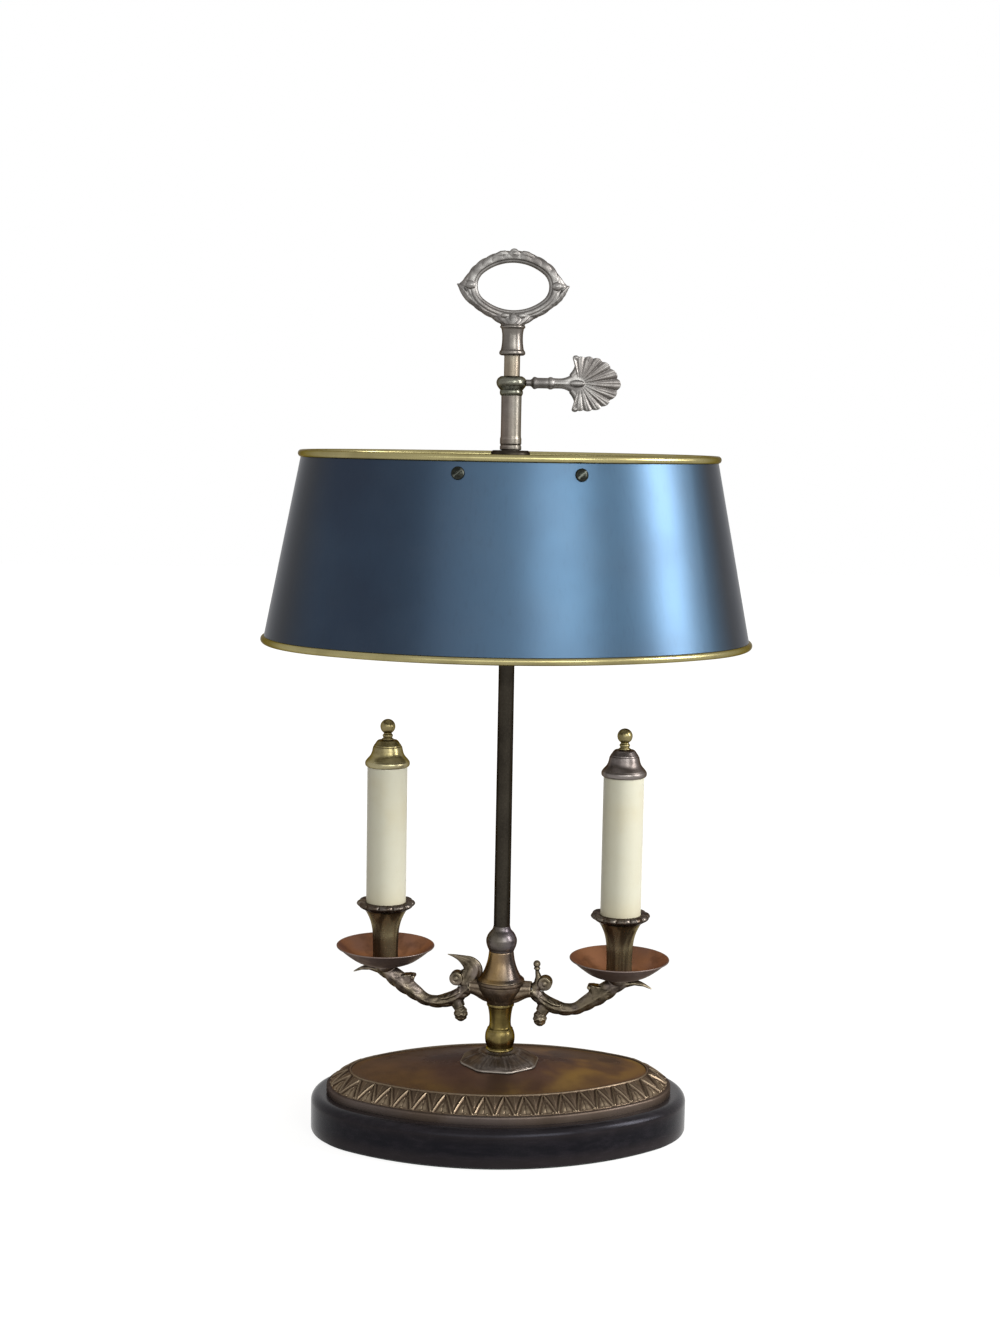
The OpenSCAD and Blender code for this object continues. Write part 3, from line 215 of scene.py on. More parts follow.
def soften(points, most=4.0, steps=4):
    """Rounds the corners of a closed line. A point's third number is the most its corner takes."""
    points = [tuple(p) + (most,) if len(p) == 2 else tuple(p) for p in points]
    made, n = [], len(points)
    for i, (x, y, cap) in enumerate(points):
        p = np.array((x, y))
        a, b = np.array(points[i - 1][:2]), np.array(points[(i + 1) % n][:2])
        la, lb = np.linalg.norm(a - p), np.linalg.norm(b - p)
        t = min(cap, la * 0.48, lb * 0.48)
        if t < 0.02:
            made.append((x, y))
            continue
        start, end = p + (a - p) * t / la, p + (b - p) * t / lb
        for k in range(steps + 1):
            s = k / steps
            made.append(tuple((1 - s) ** 2 * start + 2 * s * (1 - s) * p + s * s * end))
    return made


def between(a, b, parts):
    """Points from a towards b, without b."""
    return [(a[0] + (b[0] - a[0]) * k / parts, a[1] + (b[1] - a[1]) * k / parts)
        for k in range(parts)]


def finer(line, step):
    """The closed line with points at most a step apart."""
    made = []
    for a, b in zip(line, line[1:] + line[:1]):
        parts = max(1, math.ceil(math.dist(a, b) / step)) if min(a[0], b[0]) > 1 else 1
        made += between(a, b, parts)
    return made


def smooth_path(points, steps):
    """A smooth line through the points, with steps between two of them."""
    p = np.array(points, float)
    made = []
    for i in range(len(p) - 1):
        a, b, c, d = p[max(i - 1, 0)], p[i], p[i + 1], p[min(i + 2, len(p) - 1)]
        for k in range(steps):
            t = k / steps
            made.append(0.5 * (2 * b + (c - a) * t + (2 * a - 5 * b + 4 * c - d) * t * t
                + (3 * b - a - 3 * c + d) * t ** 3))
    made.append(p[-1])
    return np.array(made)


def wave(angle, count):
    """Round-backed ribs with sharp grooves between them, 0 in a groove and 1 on a rib."""
    return np.abs(np.cos(angle * count / 2))


# ---------- Meshes ----------


def circle(count):
    """Angles spread evenly round a full turn."""
    return np.linspace(0, 2 * math.pi, count, endpoint=False)


def level_ring(angle, rx, ry, z, centre=(0, 0, 0)):
    """A ring across Z; its radii and height may be arrays over the angles."""
    flat = np.column_stack([rx * np.cos(angle), ry * np.sin(angle), np.broadcast_to(z, len(angle))])
    return flat + np.array(centre, float)


def outward(ring):
    """Unit vectors from the axis to the points of a ring."""
    return ring[:, :2] / np.linalg.norm(ring[:, :2], axis=1)[:, None]


def write_marks(mesh, name, values):
    """Stores a number at each point, for the shaders."""
    marks = mesh.attributes.get(name) or mesh.attributes.new(name, "FLOAT", "POINT")
    marks.data.foreach_set("value", np.broadcast_to(values, len(mesh.vertices)).astype(np.float32))


class Skin:
    """Collects rings and faces in millimetres and turns them into a piece."""

    def __init__(self):
        self.points, self.faces, self.marks = [], [], []
        self.count = 0

    def rings(self, rings, loop=False, mark=None):
        """Skins closed rings with as many points each. loop joins the last to the first."""
        n, m = len(rings), len(rings[0])
        start = self.count
        self.points += [np.asarray(ring, float) for ring in rings]
        self.marks += [np.full(m, float(value)) for value in mark or [0] * n]
        self.count += n * m
        index = np.arange(m)
        after = (index + 1) % m
        for i in range(n if loop else n - 1):
            a, b = start + i * m, start + ((i + 1) % n) * m
            self.faces += np.column_stack([a + index, a + after, b + after, b + index]).tolist()
        if not loop:
            self.faces += [(start + index[::-1]).tolist(), (start + (n - 1) * m + index).tolist()]
        return self

    def lathe(self, profile, centre=(0, 0, 0), count=96, axis="Z", relief=None, mark=None):
        """Turns a closed profile of (radius, height) round an axis."""
        angle = circle(count)
        rings = []
        for r, h in profile:
            radius = np.full(count, float(r))
            if relief is not None:
                radius = radius + relief(angle, r, h)
            u, v, w = radius * np.cos(angle), radius * np.sin(angle), np.full(count, float(h))
            flat = {"Z": (u, v, w), "X": (w, u, v), "Y": (v, w, u)}[axis]
            rings.append(np.column_stack(flat) + np.array(centre, float))
        return self.rings(rings, True, mark)

    def sweep(self, points, sides=16, side=(0, 1, 0), pattern=None):
        """A tube through [x, y, z, half height, half thickness], thickness along side."""
        p = np.array(points, float)
        across = Vector(side).normalized()
        angle = circle(sides)
        rings = []
        for i, row in enumerate(p):
            ahead = Vector(p[min(i + 1, len(p) - 1)][:3]) - Vector(p[max(i - 1, 0)][:3])
            ahead.normalize()
            up = across.cross(ahead).normalized()
            thick = ahead.cross(up).normalized()
            wide = pattern(i / (len(p) - 1), angle) if pattern else 1
            rings.append(np.array(row[:3]) + (row[3] * wide * np.cos(angle))[:, None] * np.array(up)
                + (row[4] * wide * np.sin(angle))[:, None] * np.array(thick))
        return self.rings(rings)

    def ball(self, centre, radii, across=24, up=12, bumps=0, depth=0.0):
        """A closed ellipsoid; bumps cover it with rows of small scales, as on a bud."""
        angle = circle(across)
        rings = []
        for k in range(up + 1):
            t = math.pi * k / up
            r, h = max(math.sin(t), TINY), -math.cos(t)
            row = k / up * bumps * 0.75
            ripple = np.abs(np.sin(angle * bumps / 2 + math.pi * round(row) / 2))
            scale = 1 + depth * ripple * abs(math.sin(math.pi * row))
            rings.append(level_ring(angle, r * radii[0] * scale, r * radii[1] * scale, h * radii[2],
                centre))
        return self.rings(rings)

    def piece(self, name, turn=0.0):
        """The collected skin as an object in metres, welded, with its faces pointing outward."""
        made = bpy.data.meshes.new(name)
        points = np.concatenate(self.points) * MM
        if turn:
            c, s = math.cos(turn), math.sin(turn)
            points = points @ np.array([[c, s, 0], [-s, c, 0], [0, 0, 1]])
        made.from_pydata(points.tolist(), [], self.faces)
        write_marks(made, "zone", np.concatenate(self.marks))
        work = bmesh.new()
        work.from_mesh(made)
        bmesh.ops.remove_doubles(work, verts=work.verts, dist=WELD)
        bmesh.ops.dissolve_degenerate(work, edges=work.edges, dist=WELD / 2)
        bmesh.ops.recalc_face_normals(work, faces=work.faces)
        work.to_mesh(made)
        work.free()
        return put(name, made)


def put(name, data):
    """A new object in the scene."""
    piece = bpy.data.objects.new(name, data)
    bpy.context.scene.collection.objects.link(piece)
    return piece


def baked(piece):
    """The piece with its modifiers applied, as a plain mesh."""
    graph = bpy.context.evaluated_depsgraph_get()
    made = bpy.data.meshes.new_from_object(piece.evaluated_get(graph),
        preserve_all_data_layers=True, depsgraph=graph)
    piece.modifiers.clear()
    piece.data = made
    return piece


def fused(piece, voxel, rounds, factor):
    """Fuses overlapping shells into one cast skin."""
    step = piece.modifiers.new("fuse", "REMESH")
    step.mode = "VOXEL"
    step.voxel_size = voxel
    soft = piece.modifiers.new("soften", "SMOOTH")
    soft.factor = factor
    soft.iterations = rounds
    return baked(piece)


def cut(piece, tool):
    """Takes a skin's shape out of the piece."""
    cutter = tool.piece("cutter")
    step = piece.modifiers.new("cut", "BOOLEAN")
    step.operation = "DIFFERENCE"
    step.solver = "EXACT"
    step.object = cutter
    baked(piece)
    bpy.data.objects.remove(cutter)


def relief_marks(mesh, rounds, height):
    """Writes how far each point stands out of (+) or lies under (-) its neighbourhood."""
    def read(items, key, width, kind):
        values = np.empty(len(items) * width, kind)
        items.foreach_get(key, values)
        return values.reshape(-1, width)
    points, normals = (read(mesh.vertices, key, 3, float) for key in ("co", "normal"))
    a, b = read(mesh.edges, "vertices", 2, int).T
    count = len(points)
    degree = np.maximum(np.bincount(a, minlength=count) + np.bincount(b, minlength=count), 1)

    def average(values):
        return np.column_stack([(np.bincount(a, column[b], count) + np.bincount(b, column[a],
            count)) / degree for column in values.T])
    even = points
    for _ in range(rounds):
        even = 0.5 * even + 0.5 * average(even)
    value = ((points - even) * normals).sum(1)[:, None] / (height * MM)
    write_marks(mesh, "relief", np.clip(0.5 * value + 0.5 * average(value), -1, 1)[:, 0])


def finish_piece(piece, body, material, replaces=(), crease=40.0, relief=None):
    """Smooth shading, relief marks for wear, patina and painted shade, material and the place of a
    piece in the frame.
    """
    mesh = piece.data
    mesh.polygons.foreach_set("use_smooth", [True] * len(mesh.polygons))
    mesh.set_sharp_from_angle(angle=math.radians(crease))
    if relief:
        relief_marks(mesh, *relief)
    mesh.materials.clear()
    mesh.materials.append(finish(material))
    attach(piece, body)
    if replaces:
        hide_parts(*replaces)


# ---------- Node building ----------

FLOAT, RGBA, VECTOR = "NodeSocketFloat", "NodeSocketColor", "NodeSocketVector"


def feed(tree, node, sockets):
    """Sets a node's sockets; a value may be another node's output."""
    for key, value in sockets.items():
        if isinstance(value, bpy.types.NodeSocket):
            tree.links.new(value, node.inputs[key])
        else:
            node.inputs[key].default_value = value


def add(tree, kind, sockets=None, **settings):
    """A node with its settings and sockets."""
    node = tree.nodes.new(kind)
    for key, value in settings.items():
        setattr(node, key, value)
    feed(tree, node, sockets or {})
    return node


def calc(tree, operation, a, b, clamp=False):
    """The result of a sum on two values."""
    return add(tree, "ShaderNodeMath", {0: a, 1: b}, operation=operation,
        use_clamp=clamp).outputs[0]


def times(tree, a, b):
    return calc(tree, "MULTIPLY", a, b)


def raised(tree, base, value, amount):
    """The base plus an amount of the value."""
    return calc(tree, "ADD", base, times(tree, value, amount))


def mixed(tree, factor, a, b):
    """Two colours mixed by a factor."""
    return add(tree, "ShaderNodeMix", {0: factor, 6: a, 7: b}, data_type="RGBA").outputs[2]


def ranged(tree, value, low, high, to_low=0.0, to_high=1.0):
    """A value's range moved to another, with a smooth step."""
    return add(tree, "ShaderNodeMapRange",
        {"Value": value, "From Min": low, "From Max": high, "To Min": to_low, "To Max": to_high},
        interpolation_type="SMOOTHSTEP").outputs[0]


def noise(tree, vector, scale, detail=3.0, roughness=0.55):
    """Uneven values round a half, finer with a larger scale."""
    return add(tree, "ShaderNodeTexNoise",
        {"Vector": vector, "Scale": scale, "Detail": detail, "Roughness": roughness}).outputs["Fac"]


def mark_of(tree, name):
    """The number that a piece's points carry under that name."""
    return add(tree, "ShaderNodeAttribute", attribute_name=name).outputs["Fac"]


def along(tree, place, axis):
    """One coordinate of a place."""
    return add(tree, "ShaderNodeSeparateXYZ", {"Vector": place}).outputs[axis]


def stretched(tree, place, *scale):
    """Coordinates pulled along the axes whose scale is small."""
    return add(tree, "ShaderNodeMapping", {"Vector": place, "Scale": scale}).outputs[0]


def far(tree, place):
    """The distance of a place from the origin."""
    return add(tree, "ShaderNodeVectorMath", {0: place}, operation="LENGTH").outputs["Value"]


def group(name, inputs, outputs, kind="ShaderNodeTree"):
    """An empty node group with named sockets: the tree, what it is given, and its end."""
    tree = bpy.data.node_groups.new(name, kind)
    for label, socket_type, default in inputs:
        socket = tree.interface.new_socket(label, in_out="INPUT", socket_type=socket_type)
        if default is not None:
            socket.default_value = default
    for label, socket_type in outputs:
        tree.interface.new_socket(label, in_out="OUTPUT", socket_type=socket_type)
    return tree, tree.nodes.new("NodeGroupInput").outputs, tree.nodes.new("NodeGroupOutput")


def build_patina():
    """Group: metal with patina in clouds, darker in hollows as patina and painted shade, and bare
    metal on ridges.
    """
    tree, g, out = group("patina", [("Vector", VECTOR, None), ("Metal", RGBA, None),
        ("Patina", RGBA, None), ("Worn", RGBA, None), ("Relief", FLOAT, 0.0),
        ("Cloud Scale", FLOAT, 60.0), ("Cloud Amount", FLOAT, 0.5), ("Wear", FLOAT, 0.8),
        ("Roughness", FLOAT, 0.3), ("Tint", RGBA, None), ("Tint Amount", FLOAT, 0.3)],
        [("Color", RGBA), ("Roughness", FLOAT), ("Height", FLOAT)])
    clouds = noise(tree, g["Vector"], g["Cloud Scale"], 4.0, 0.6)
    specks = noise(tree, g["Vector"], 900.0, 3.0, 0.65)
    tints = noise(tree, g["Vector"], times(tree, g["Cloud Scale"], 0.45), 2.0)
    share = times(tree, ranged(tree, tints, 0.42, 0.66), g["Tint Amount"])
    base = mixed(tree, share, g["Metal"], g["Tint"])
    cloudy = times(tree, ranged(tree, clouds, 0.4, 0.68), g["Cloud Amount"])
    # hollows darken towards the patina colour: real patina and painted shade
    hollow = ranged(tree, times(tree, g["Relief"], -1.0), 0.03, 0.55)
    grit = calc(tree, "SUBTRACT", specks, 0.5)
    ragged = raised(tree, g["Relief"], grit, 0.5)
    ridge = times(tree, ranged(tree, ragged, 0.08, 0.5), g["Wear"])
    dark = calc(tree, "MAXIMUM", cloudy, times(tree, hollow, 0.92))
    speck = times(tree, ranged(tree, specks, 0.62, 0.74), 0.35)
    body = mixed(tree, calc(tree, "MAXIMUM", dark, speck), base, g["Patina"])
    rough = raised(tree, raised(tree, g["Roughness"], dark, 0.22), grit, 0.16)
    feed(tree, out, {"Color": mixed(tree, ridge, body, g["Worn"]),
        "Roughness": calc(tree, "SUBTRACT", rough, times(tree, ridge, 0.08), True),
        "Height": calc(tree, "SUBTRACT", specks, times(tree, cloudy, 0.3))})
    return tree


def build_turning():
    """Group: the fine rings that a lathe leaves, along one coordinate."""
    tree, g, out = group("turning", [("Along", FLOAT, 0.0), ("Spacing", FLOAT, 0.0006)],
        [("Height", FLOAT), ("Mask", FLOAT)])
    place = calc(tree, "DIVIDE", g["Along"], g["Spacing"])
    lines = add(tree, "ShaderNodeTexNoise", {"W": place, "Scale": 1.0, "Detail": 3.0},
        noise_dimensions="1D").outputs["Fac"]
    feed(tree, out, {"Height": lines, "Mask": ranged(tree, lines, 0.52, 0.7)})
    return tree


def build_dust():
    """Group: faint dust and smears over paint and wax."""
    tree, g, out = group("dust", [("Vector", VECTOR, None), ("Color", RGBA, None),
        ("Dust", RGBA, None), ("Amount", FLOAT, 0.1), ("Scale", FLOAT, 30.0)],
        [("Color", RGBA), ("Mask", FLOAT)])
    wide = noise(tree, g["Vector"], g["Scale"], 5.0, 0.65)
    fine = noise(tree, g["Vector"], 1500.0, 2.0)
    mask = times(tree, ranged(tree, wide, 0.4, 0.75), ranged(tree, fine, 0.3, 0.7))
    mask = times(tree, mask, g["Amount"])
    feed(tree, out, {"Color": mixed(tree, mask, g["Color"], g["Dust"]), "Mask": mask})
    return tree


BUILDERS = {"patina": build_patina, "turning": build_turning, "dust": build_dust}
GROUPS = {}


def placed(tree, name, sockets):
    """A shader node group placed in a material, built the first time that it is used."""
    if name not in GROUPS:
        GROUPS[name] = BUILDERS[name]()
    return add(tree, "ShaderNodeGroup", sockets, node_tree=GROUPS[name])


def dusted(tree, place, body, dust, amount, scale):
    """The body's colour under a little dust."""
    return placed(tree, "dust", {"Vector": place, "Color": body, "Dust": tone(*dust),
        "Amount": amount, "Scale": scale}).outputs["Color"]


def fresh(name):
    """A material with an empty tree, its shader and its coordinates."""
    material = bpy.data.materials.new(name)
    material.use_nodes = True
    tree = material.node_tree
    tree.nodes.clear()
    shader = tree.nodes.new("ShaderNodeBsdfPrincipled")
    add(tree, "ShaderNodeOutputMaterial", {"Surface": shader.outputs[0]})
    return material, tree, shader, tree.nodes.new("ShaderNodeTexCoord").outputs["Object"]


def bumped(tree, shader, height, distance, strength):
    """Gives a shader a fine uneven surface."""
    bump = add(tree, "ShaderNodeBump", {"Height": height, "Distance": distance,
        "Strength": strength})
    feed(tree, shader, {"Normal": bump.outputs[0]})


def hue(value):
    """A colour of the panel by its name, or a tone by its three numbers."""
    if isinstance(value, str):
        return tuple(getattr(bpy.context.scene.lamp_colours, value))
    return tone(*value)


# ---------- Materials ----------

# what a metal reflects at a glancing view
EDGE = (150, 140, 126)

# Colours of the metal, its patina, its worn ridges and its tint, by a name of the panel or as a
# tone; then scale and amount of the clouds, wear, roughness, amount of tint, and what is special.
METALS = {
    "rim_brass": ("gold", (96, 86, 54), (190, 184, 150), (132, 124, 90), 26, 0.35, 0.4, 0.27, 0.4,
        {}),
    "arm_cast": ("arm", "arm_dark", (158, 147, 124), (116, 105, 101), 130, 0.7, 0.85, 0.34, 0.7,
        {"grain": 0.0001}),
    "baluster_brass": ("olive", (50, 41, 22), (134, 121, 92), (92, 76, 38), 60, 0.4, 0.4, 0.26, 0.5,
        {"lines": 0.5, "streaks": 0.5}),
    "bell_brass": ("bell", (70, 56, 50), (150, 134, 112), (100, 74, 60), 50, 0.4, 0.4, 0.3, 0.4,
        {"lines": 0.35, "lean": (72, 70, 70)}),
    "hub_cast": ("mauve", (50, 41, 34), (150, 136, 118), (92, 80, 58), 120, 0.6, 0.85, 0.42, 0.45,
        {"grain": 0.0001}),
    "foot_cast": ((104, 96, 90), (58, 49, 44), (140, 132, 124), (88, 72, 54), 110, 0.65, 0.7, 0.4,
        0.6, {"grain": 0.00025}),
    "knop_bronze": ("bronze", (42, 38, 32), (120, 112, 104), (86, 76, 84), 60, 0.5, 0.4, 0.34, 0.5,
        {"lines": 0.3, "lean": (92, 87, 91)}),
    "tube_bronze": ("tube", (28, 25, 22), (84, 78, 68), (62, 58, 50), 50, 0.5, 0.4, 0.34, 0.4,
        {"lines": 0.4}),
    "pewter": ("pewter", "pewter_dark", (158, 154, 149), (108, 101, 97), 80, 0.5, 0.7, 0.4, 0.5,
        {"grain": 0.00004}),
    "ferrule_metal": ((104, 99, 94), (58, 54, 50), (158, 152, 146), (98, 88, 78), 60, 0.4, 0.5, 0.3,
        0.4, {"lines": 0.4}),
    "collar_metal": ((92, 91, 80), (46, 43, 35), (156, 152, 138), (84, 86, 78), 60, 0.45, 0.5, 0.28,
        0.5, {"lines": 0.4}),
    "sleeve_metal": ((106, 99, 96), (72, 66, 61), (156, 150, 142), (118, 100, 80), 34, 0.4, 0.4,
        0.32, 0.3, {"lines": 0.4, "lean": (122, 120, 112)}),
    "rod_metal": ("rod", (90, 82, 70), (156, 150, 138), (126, 108, 90), 50, 0.4, 0.4, 0.34, 0.5,
        {"lines": 0.5}),
    "spider_bronze": ((60, 55, 48), (30, 26, 22), (100, 92, 78), None, 80, 0.5, 0.4, 0.4, 0.0, {}),
    "cup_brass": ((154, 144, 112), (58, 46, 35), (122, 116, 108), (116, 106, 92), 60, 0.35, 0.4,
        0.24, 0.5, {"lines": 0.3, "metallic": 0.85, "zoned": (86, 80, 75), "streaks": 0.75}),
    "cap_gold": ((130, 120, 84), (66, 57, 36), (166, 158, 128), (110, 96, 60), 60, 0.45, 0.6, 0.3,
        0.5, {"lines": 0.5}),
    # painted reflection: a darker, greyer copy of the caps' brass, given to the right cap only
    "cap_dark": ((96, 89, 87), (46, 40, 37), (134, 128, 124), (96, 86, 78), 60, 0.45, 0.6, 0.34,
        0.5, {"lines": 0.5}),
    "socket_brass": ((150, 128, 74), (90, 72, 38), (180, 164, 112), None, 40, 0.35, 0.4, 0.28, 0.0,
        {"lines": 0.4, "axis": "X"}),
    "steel": ((120, 118, 115), (76, 73, 70), (160, 160, 158), None, 90, 0.35, 0.4, 0.36, 0.0, {}),
    "nut_brass": ((120, 101, 58), (66, 52, 27), (164, 148, 100), None, 80, 0.4, 0.5, 0.32, 0.0, {}),
    "screw_dark": ((33, 34, 30), (16, 16, 14), (84, 86, 80), (36, 42, 38), 200, 0.5, 0.6, 0.34, 0.4,
        {}),
}


def aged(tree, place, metal, patina, worn, tint, cloud, clouds, wear, rough, tints, relief=None):
    """The patina group in a material; the mark "relief" says what is a ridge and what is hollow."""
    return placed(tree, "patina", {"Vector": place, "Metal": metal, "Patina": patina, "Worn": worn,
        "Relief": relief or mark_of(tree, "relief"), "Cloud Scale": cloud, "Cloud Amount": clouds,
        "Wear": wear, "Roughness": rough, "Tint": tint, "Tint Amount": tints})


def brass(tree, shader, place, metal, patina, worn, tint, cloud, clouds, wear, rough, tints,
        lines=0.0, metallic=1.0, axis="Z", grain=0.00002, lean=None, zoned=None, streaks=0.0):
    """Aged metal: patina, wear and, where it was turned, the lathe's rings; a side tone gives a
    painted lit and shaded side, and streaks give painted upright reflection streaks.
    """
    metal, patina = hue(metal), hue(patina)
    skin = aged(tree, place, metal, patina, hue(worn), hue(tint) if tint else metal, cloud, clouds,
        wear, rough, tints)
    # painted light and shade: the metal turns towards another tone from one side of the piece to
    # the other, along X
    if lean:
        share = ranged(tree, along(tree, place, "X"), -0.007, 0.008)
        feed(tree, skin, {"Metal": mixed(tree, share, metal, hue(lean))})
    if zoned:
        feed(tree, skin, {"Metal": mixed(tree, mark_of(tree, "zone"), metal, hue(zoned))})
    height, body = skin.outputs["Height"], skin.outputs["Color"]
    if lines:
        rings = placed(tree, "turning", {"Along": along(tree, place, axis), "Spacing": 0.0005})
        height = raised(tree, height, rings.outputs["Height"], lines)
        body = mixed(tree, times(tree, rings.outputs["Mask"], 0.25 * min(lines, 1)), body, patina)
    # painted reflection: long upright streaks of the patina tone stand in for the light and dark
    # streaks that the metal reflects
    if streaks:
        streak_noise = noise(tree, stretched(tree, place, 1.0, 1.0, 0.04), 130.0, 2.0)
        body = mixed(tree, times(tree, ranged(tree, streak_noise, 0.46, 0.6), streaks), body, patina)
    feed(tree, shader, {"Base Color": body, "Roughness": skin.outputs["Roughness"],
        "Metallic": metallic, "Specular Tint": tone(*EDGE)})
    bumped(tree, shader, height, grain, 0.3)


def pan_metal(tree, shader, place):
    """A pan's metal: one colour inside, another outside, split by the zone mark."""
    outer = tone(116, 104, 101)
    ragged = calc(tree, "SUBTRACT", noise(tree, place, 260.0), 0.5)
    edge = ranged(tree, raised(tree, mark_of(tree, "zone"), ragged, 0.3), 0.4, 0.6)
    metal = mixed(tree, edge, outer, hue("copper"))
    patina = mixed(tree, edge, tone(62, 51, 48), tone(88, 60, 44))
    tint = mixed(tree, edge, outer, tone(106, 86, 84))
    skin = aged(tree, place, metal, patina, tone(134, 118, 110), tint, 55.0, 0.55, 0.5, 0.4,
        0.5).outputs
    feed(tree, shader, {"Base Color": skin["Color"], "Roughness": skin["Roughness"],
        "Metallic": 0.85, "Specular Tint": tone(*EDGE)})
    bumped(tree, shader, skin["Height"], 0.00005, 0.5)


def dish_metal(tree, shader, place):
    """The dish: mirror-like brown field with painted golden reflections and painted shade round the
    foot, dull lip, leaf border with bare ridges.
    """
    zone = mark_of(tree, "zone")
    border, lip = ranged(tree, zone, 0.35, 0.65), ranged(tree, zone, 0.78, 0.88)
    wide = noise(tree, place, 14.0, 3.0, 0.6)
    # partly painted reflection: random golden patches on the field, with more of them towards the
    # right end as a painted reflection
    gold_patch_reflection = calc(tree, "ADD", wide, ranged(tree, along(tree, place, "X"), -0.05, 0.1, -0.06, 0.07))
    field = mixed(tree, ranged(tree, gold_patch_reflection, 0.47, 0.57), hue("dish"), tone(138, 113, 68))
    # painted shade and reflection: the field turns dark mauve within a few centimetres of the foot
    away = raised(tree, far(tree, stretched(tree, place, 1.0, 1.0, 0.0)),
        calc(tree, "SUBTRACT", wide, 0.5), 0.12)
    field = mixed(tree, ranged(tree, away, 0.03, 0.075, 0.75, 0.0), field, tone(88, 70, 66))
    metal = mixed(tree, border, field, mixed(tree, lip, tone(82, 73, 69), hue("border")))
    patina = mixed(tree, border, tone(70, 52, 46), tone(54, 43, 34))
    tint = mixed(tree, border, tone(98, 76, 68), tone(98, 84, 72))
    relief = times(tree, mark_of(tree, "relief"), lip)
    skin = aged(tree, place, metal, patina, tone(132, 118, 98), tint, 24.0, 0.45, 0.55, 0.36, 0.5,
        relief).outputs
    rough = raised(tree, skin["Roughness"], calc(tree, "SUBTRACT", border, lip), 0.08)
    feed(tree, shader, {"Base Color": skin["Color"], "Roughness": rough, "Metallic": 0.85,
        "Specular Tint": tone(122, 104, 82)})
    bumped(tree, shader, skin["Height"], 0.00003, 0.4)


def shade_paint(tree, shader, place):
    """Satin metallic paint outside, with a painted lit side and painted dark reflections at its
    ends, pale paint inside.
    """
    zone = mark_of(tree, "zone")
    wide = noise(tree, place, 9.0)
    # painted light: the paint turns lighter and bluer towards the shade's right side, where the
    # lamps light it
    shade_lit_side = mixed(tree, ranged(tree, along(tree, place, "X"), -0.12, 0.05), hue("shade"),
        hue("shade_lit_side"))
    outer = mixed(tree, times(tree, ranged(tree, wide, 0.35, 0.7), 0.45), shade_lit_side, tone(41, 59, 78))
    # painted reflection: the paint is mixed towards dark grey where the surface is seen at a
    # glancing angle, painted dark reflections at the shade's ends
    facing = add(tree, "ShaderNodeLayerWeight", {"Blend": 0.5}).outputs["Facing"]
    outer = mixed(tree, ranged(tree, facing, 0.22, 0.6), outer, tone(30, 33, 38))
    drag = noise(tree, stretched(tree, place, 1.0, 1.0, 0.16), 420.0)
    outer = mixed(tree, times(tree, ranged(tree, drag, 0.5, 0.8), 0.12), outer, tone(24, 30, 40))
    both = mixed(tree, zone, outer, hue("inside"))
    rough = raised(tree, raised(tree, 0.28, wide, 0.06), zone, 0.25)
    feed(tree, shader, {"Base Color": dusted(tree, place, both, (90, 90, 88), 0.06, 24.0),
        "Roughness": rough, "Metallic": times(tree, calc(tree, "SUBTRACT", 1.0, zone, True), 0.55),
        "Specular IOR Level": 0.75, "Specular Tint": tone(180, 182, 188)})
    bumped(tree, shader, raised(tree, noise(tree, place, 700.0, 2.0), drag, 0.6), 0.00002, 0.4)


def wax(tree, shader, place):
    """Cream sleeve with faint warm stains and a painted shadow at its foot."""
    wide = noise(tree, place, 26.0, 4.0)
    body = mixed(tree, ranged(tree, wide, 0.4, 0.72), hue("candle"), tone(200, 194, 170))
    # painted shadow: the sleeve turns darker and warmer towards its bottom, just above the cup
    low = ranged(tree, along(tree, place, "Z"), 0.176, 0.2, 0.35, 0.0)
    body = mixed(tree, low, body, tone(190, 176, 140))
    feed(tree, shader, {"Base Color": dusted(tree, place, body, (188, 178, 150), 0.35, 60.0),
        "Roughness": raised(tree, 0.42, wide, 0.16)})
    bumped(tree, shader, noise(tree, place, 500.0), 0.00005, 0.35)


def black_wood(tree, shader, place):
    """Ebonised wood: faint grain along its length, thin wax, lighter on its rounded edges."""
    grain = noise(tree, stretched(tree, place, 0.12, 1.0, 1.0), 260.0, 5.0, 0.6)
    pores = noise(tree, stretched(tree, place, 0.05, 1.0, 1.0), 1400.0, 2.0)
    body = mixed(tree, ranged(tree, grain, 0.4, 0.7), hue("wood"), tone(24, 21, 25))
    # lighter brown where the surface stands out, on the rounded top edge
    edge_lighter = times(tree, ranged(tree, mark_of(tree, "relief"), 0.1, 0.8), 0.35)
    body = mixed(tree, edge_lighter, body, tone(56, 48, 46))
    feed(tree, shader, {"Base Color": dusted(tree, place, body, (70, 66, 68), 0.14, 34.0),
        "Roughness": raised(tree, 0.2, grain, 0.12), "Specular IOR Level": 0.16,
        "Specular Tint": tone(208, 208, 226)})
    bumped(tree, shader, raised(tree, grain, pores, 0.7), 0.00006, 0.4)


def felt_cloth(tree, shader, place):
    """Short green fibres in uneven tones."""
    fibre = noise(tree, place, 900.0, 4.0, 0.7)
    body = mixed(tree, ranged(tree, fibre, 0.35, 0.7), hue("felt"), tone(54, 70, 58))
    body = mixed(tree, times(tree, noise(tree, place, 60.0, 2.0), 0.3), body, tone(24, 32, 28))
    feed(tree, shader, {"Base Color": body, "Roughness": raised(tree, 0.85, fibre, 0.12)})
    bumped(tree, shader, fibre, 0.0003, 0.8)


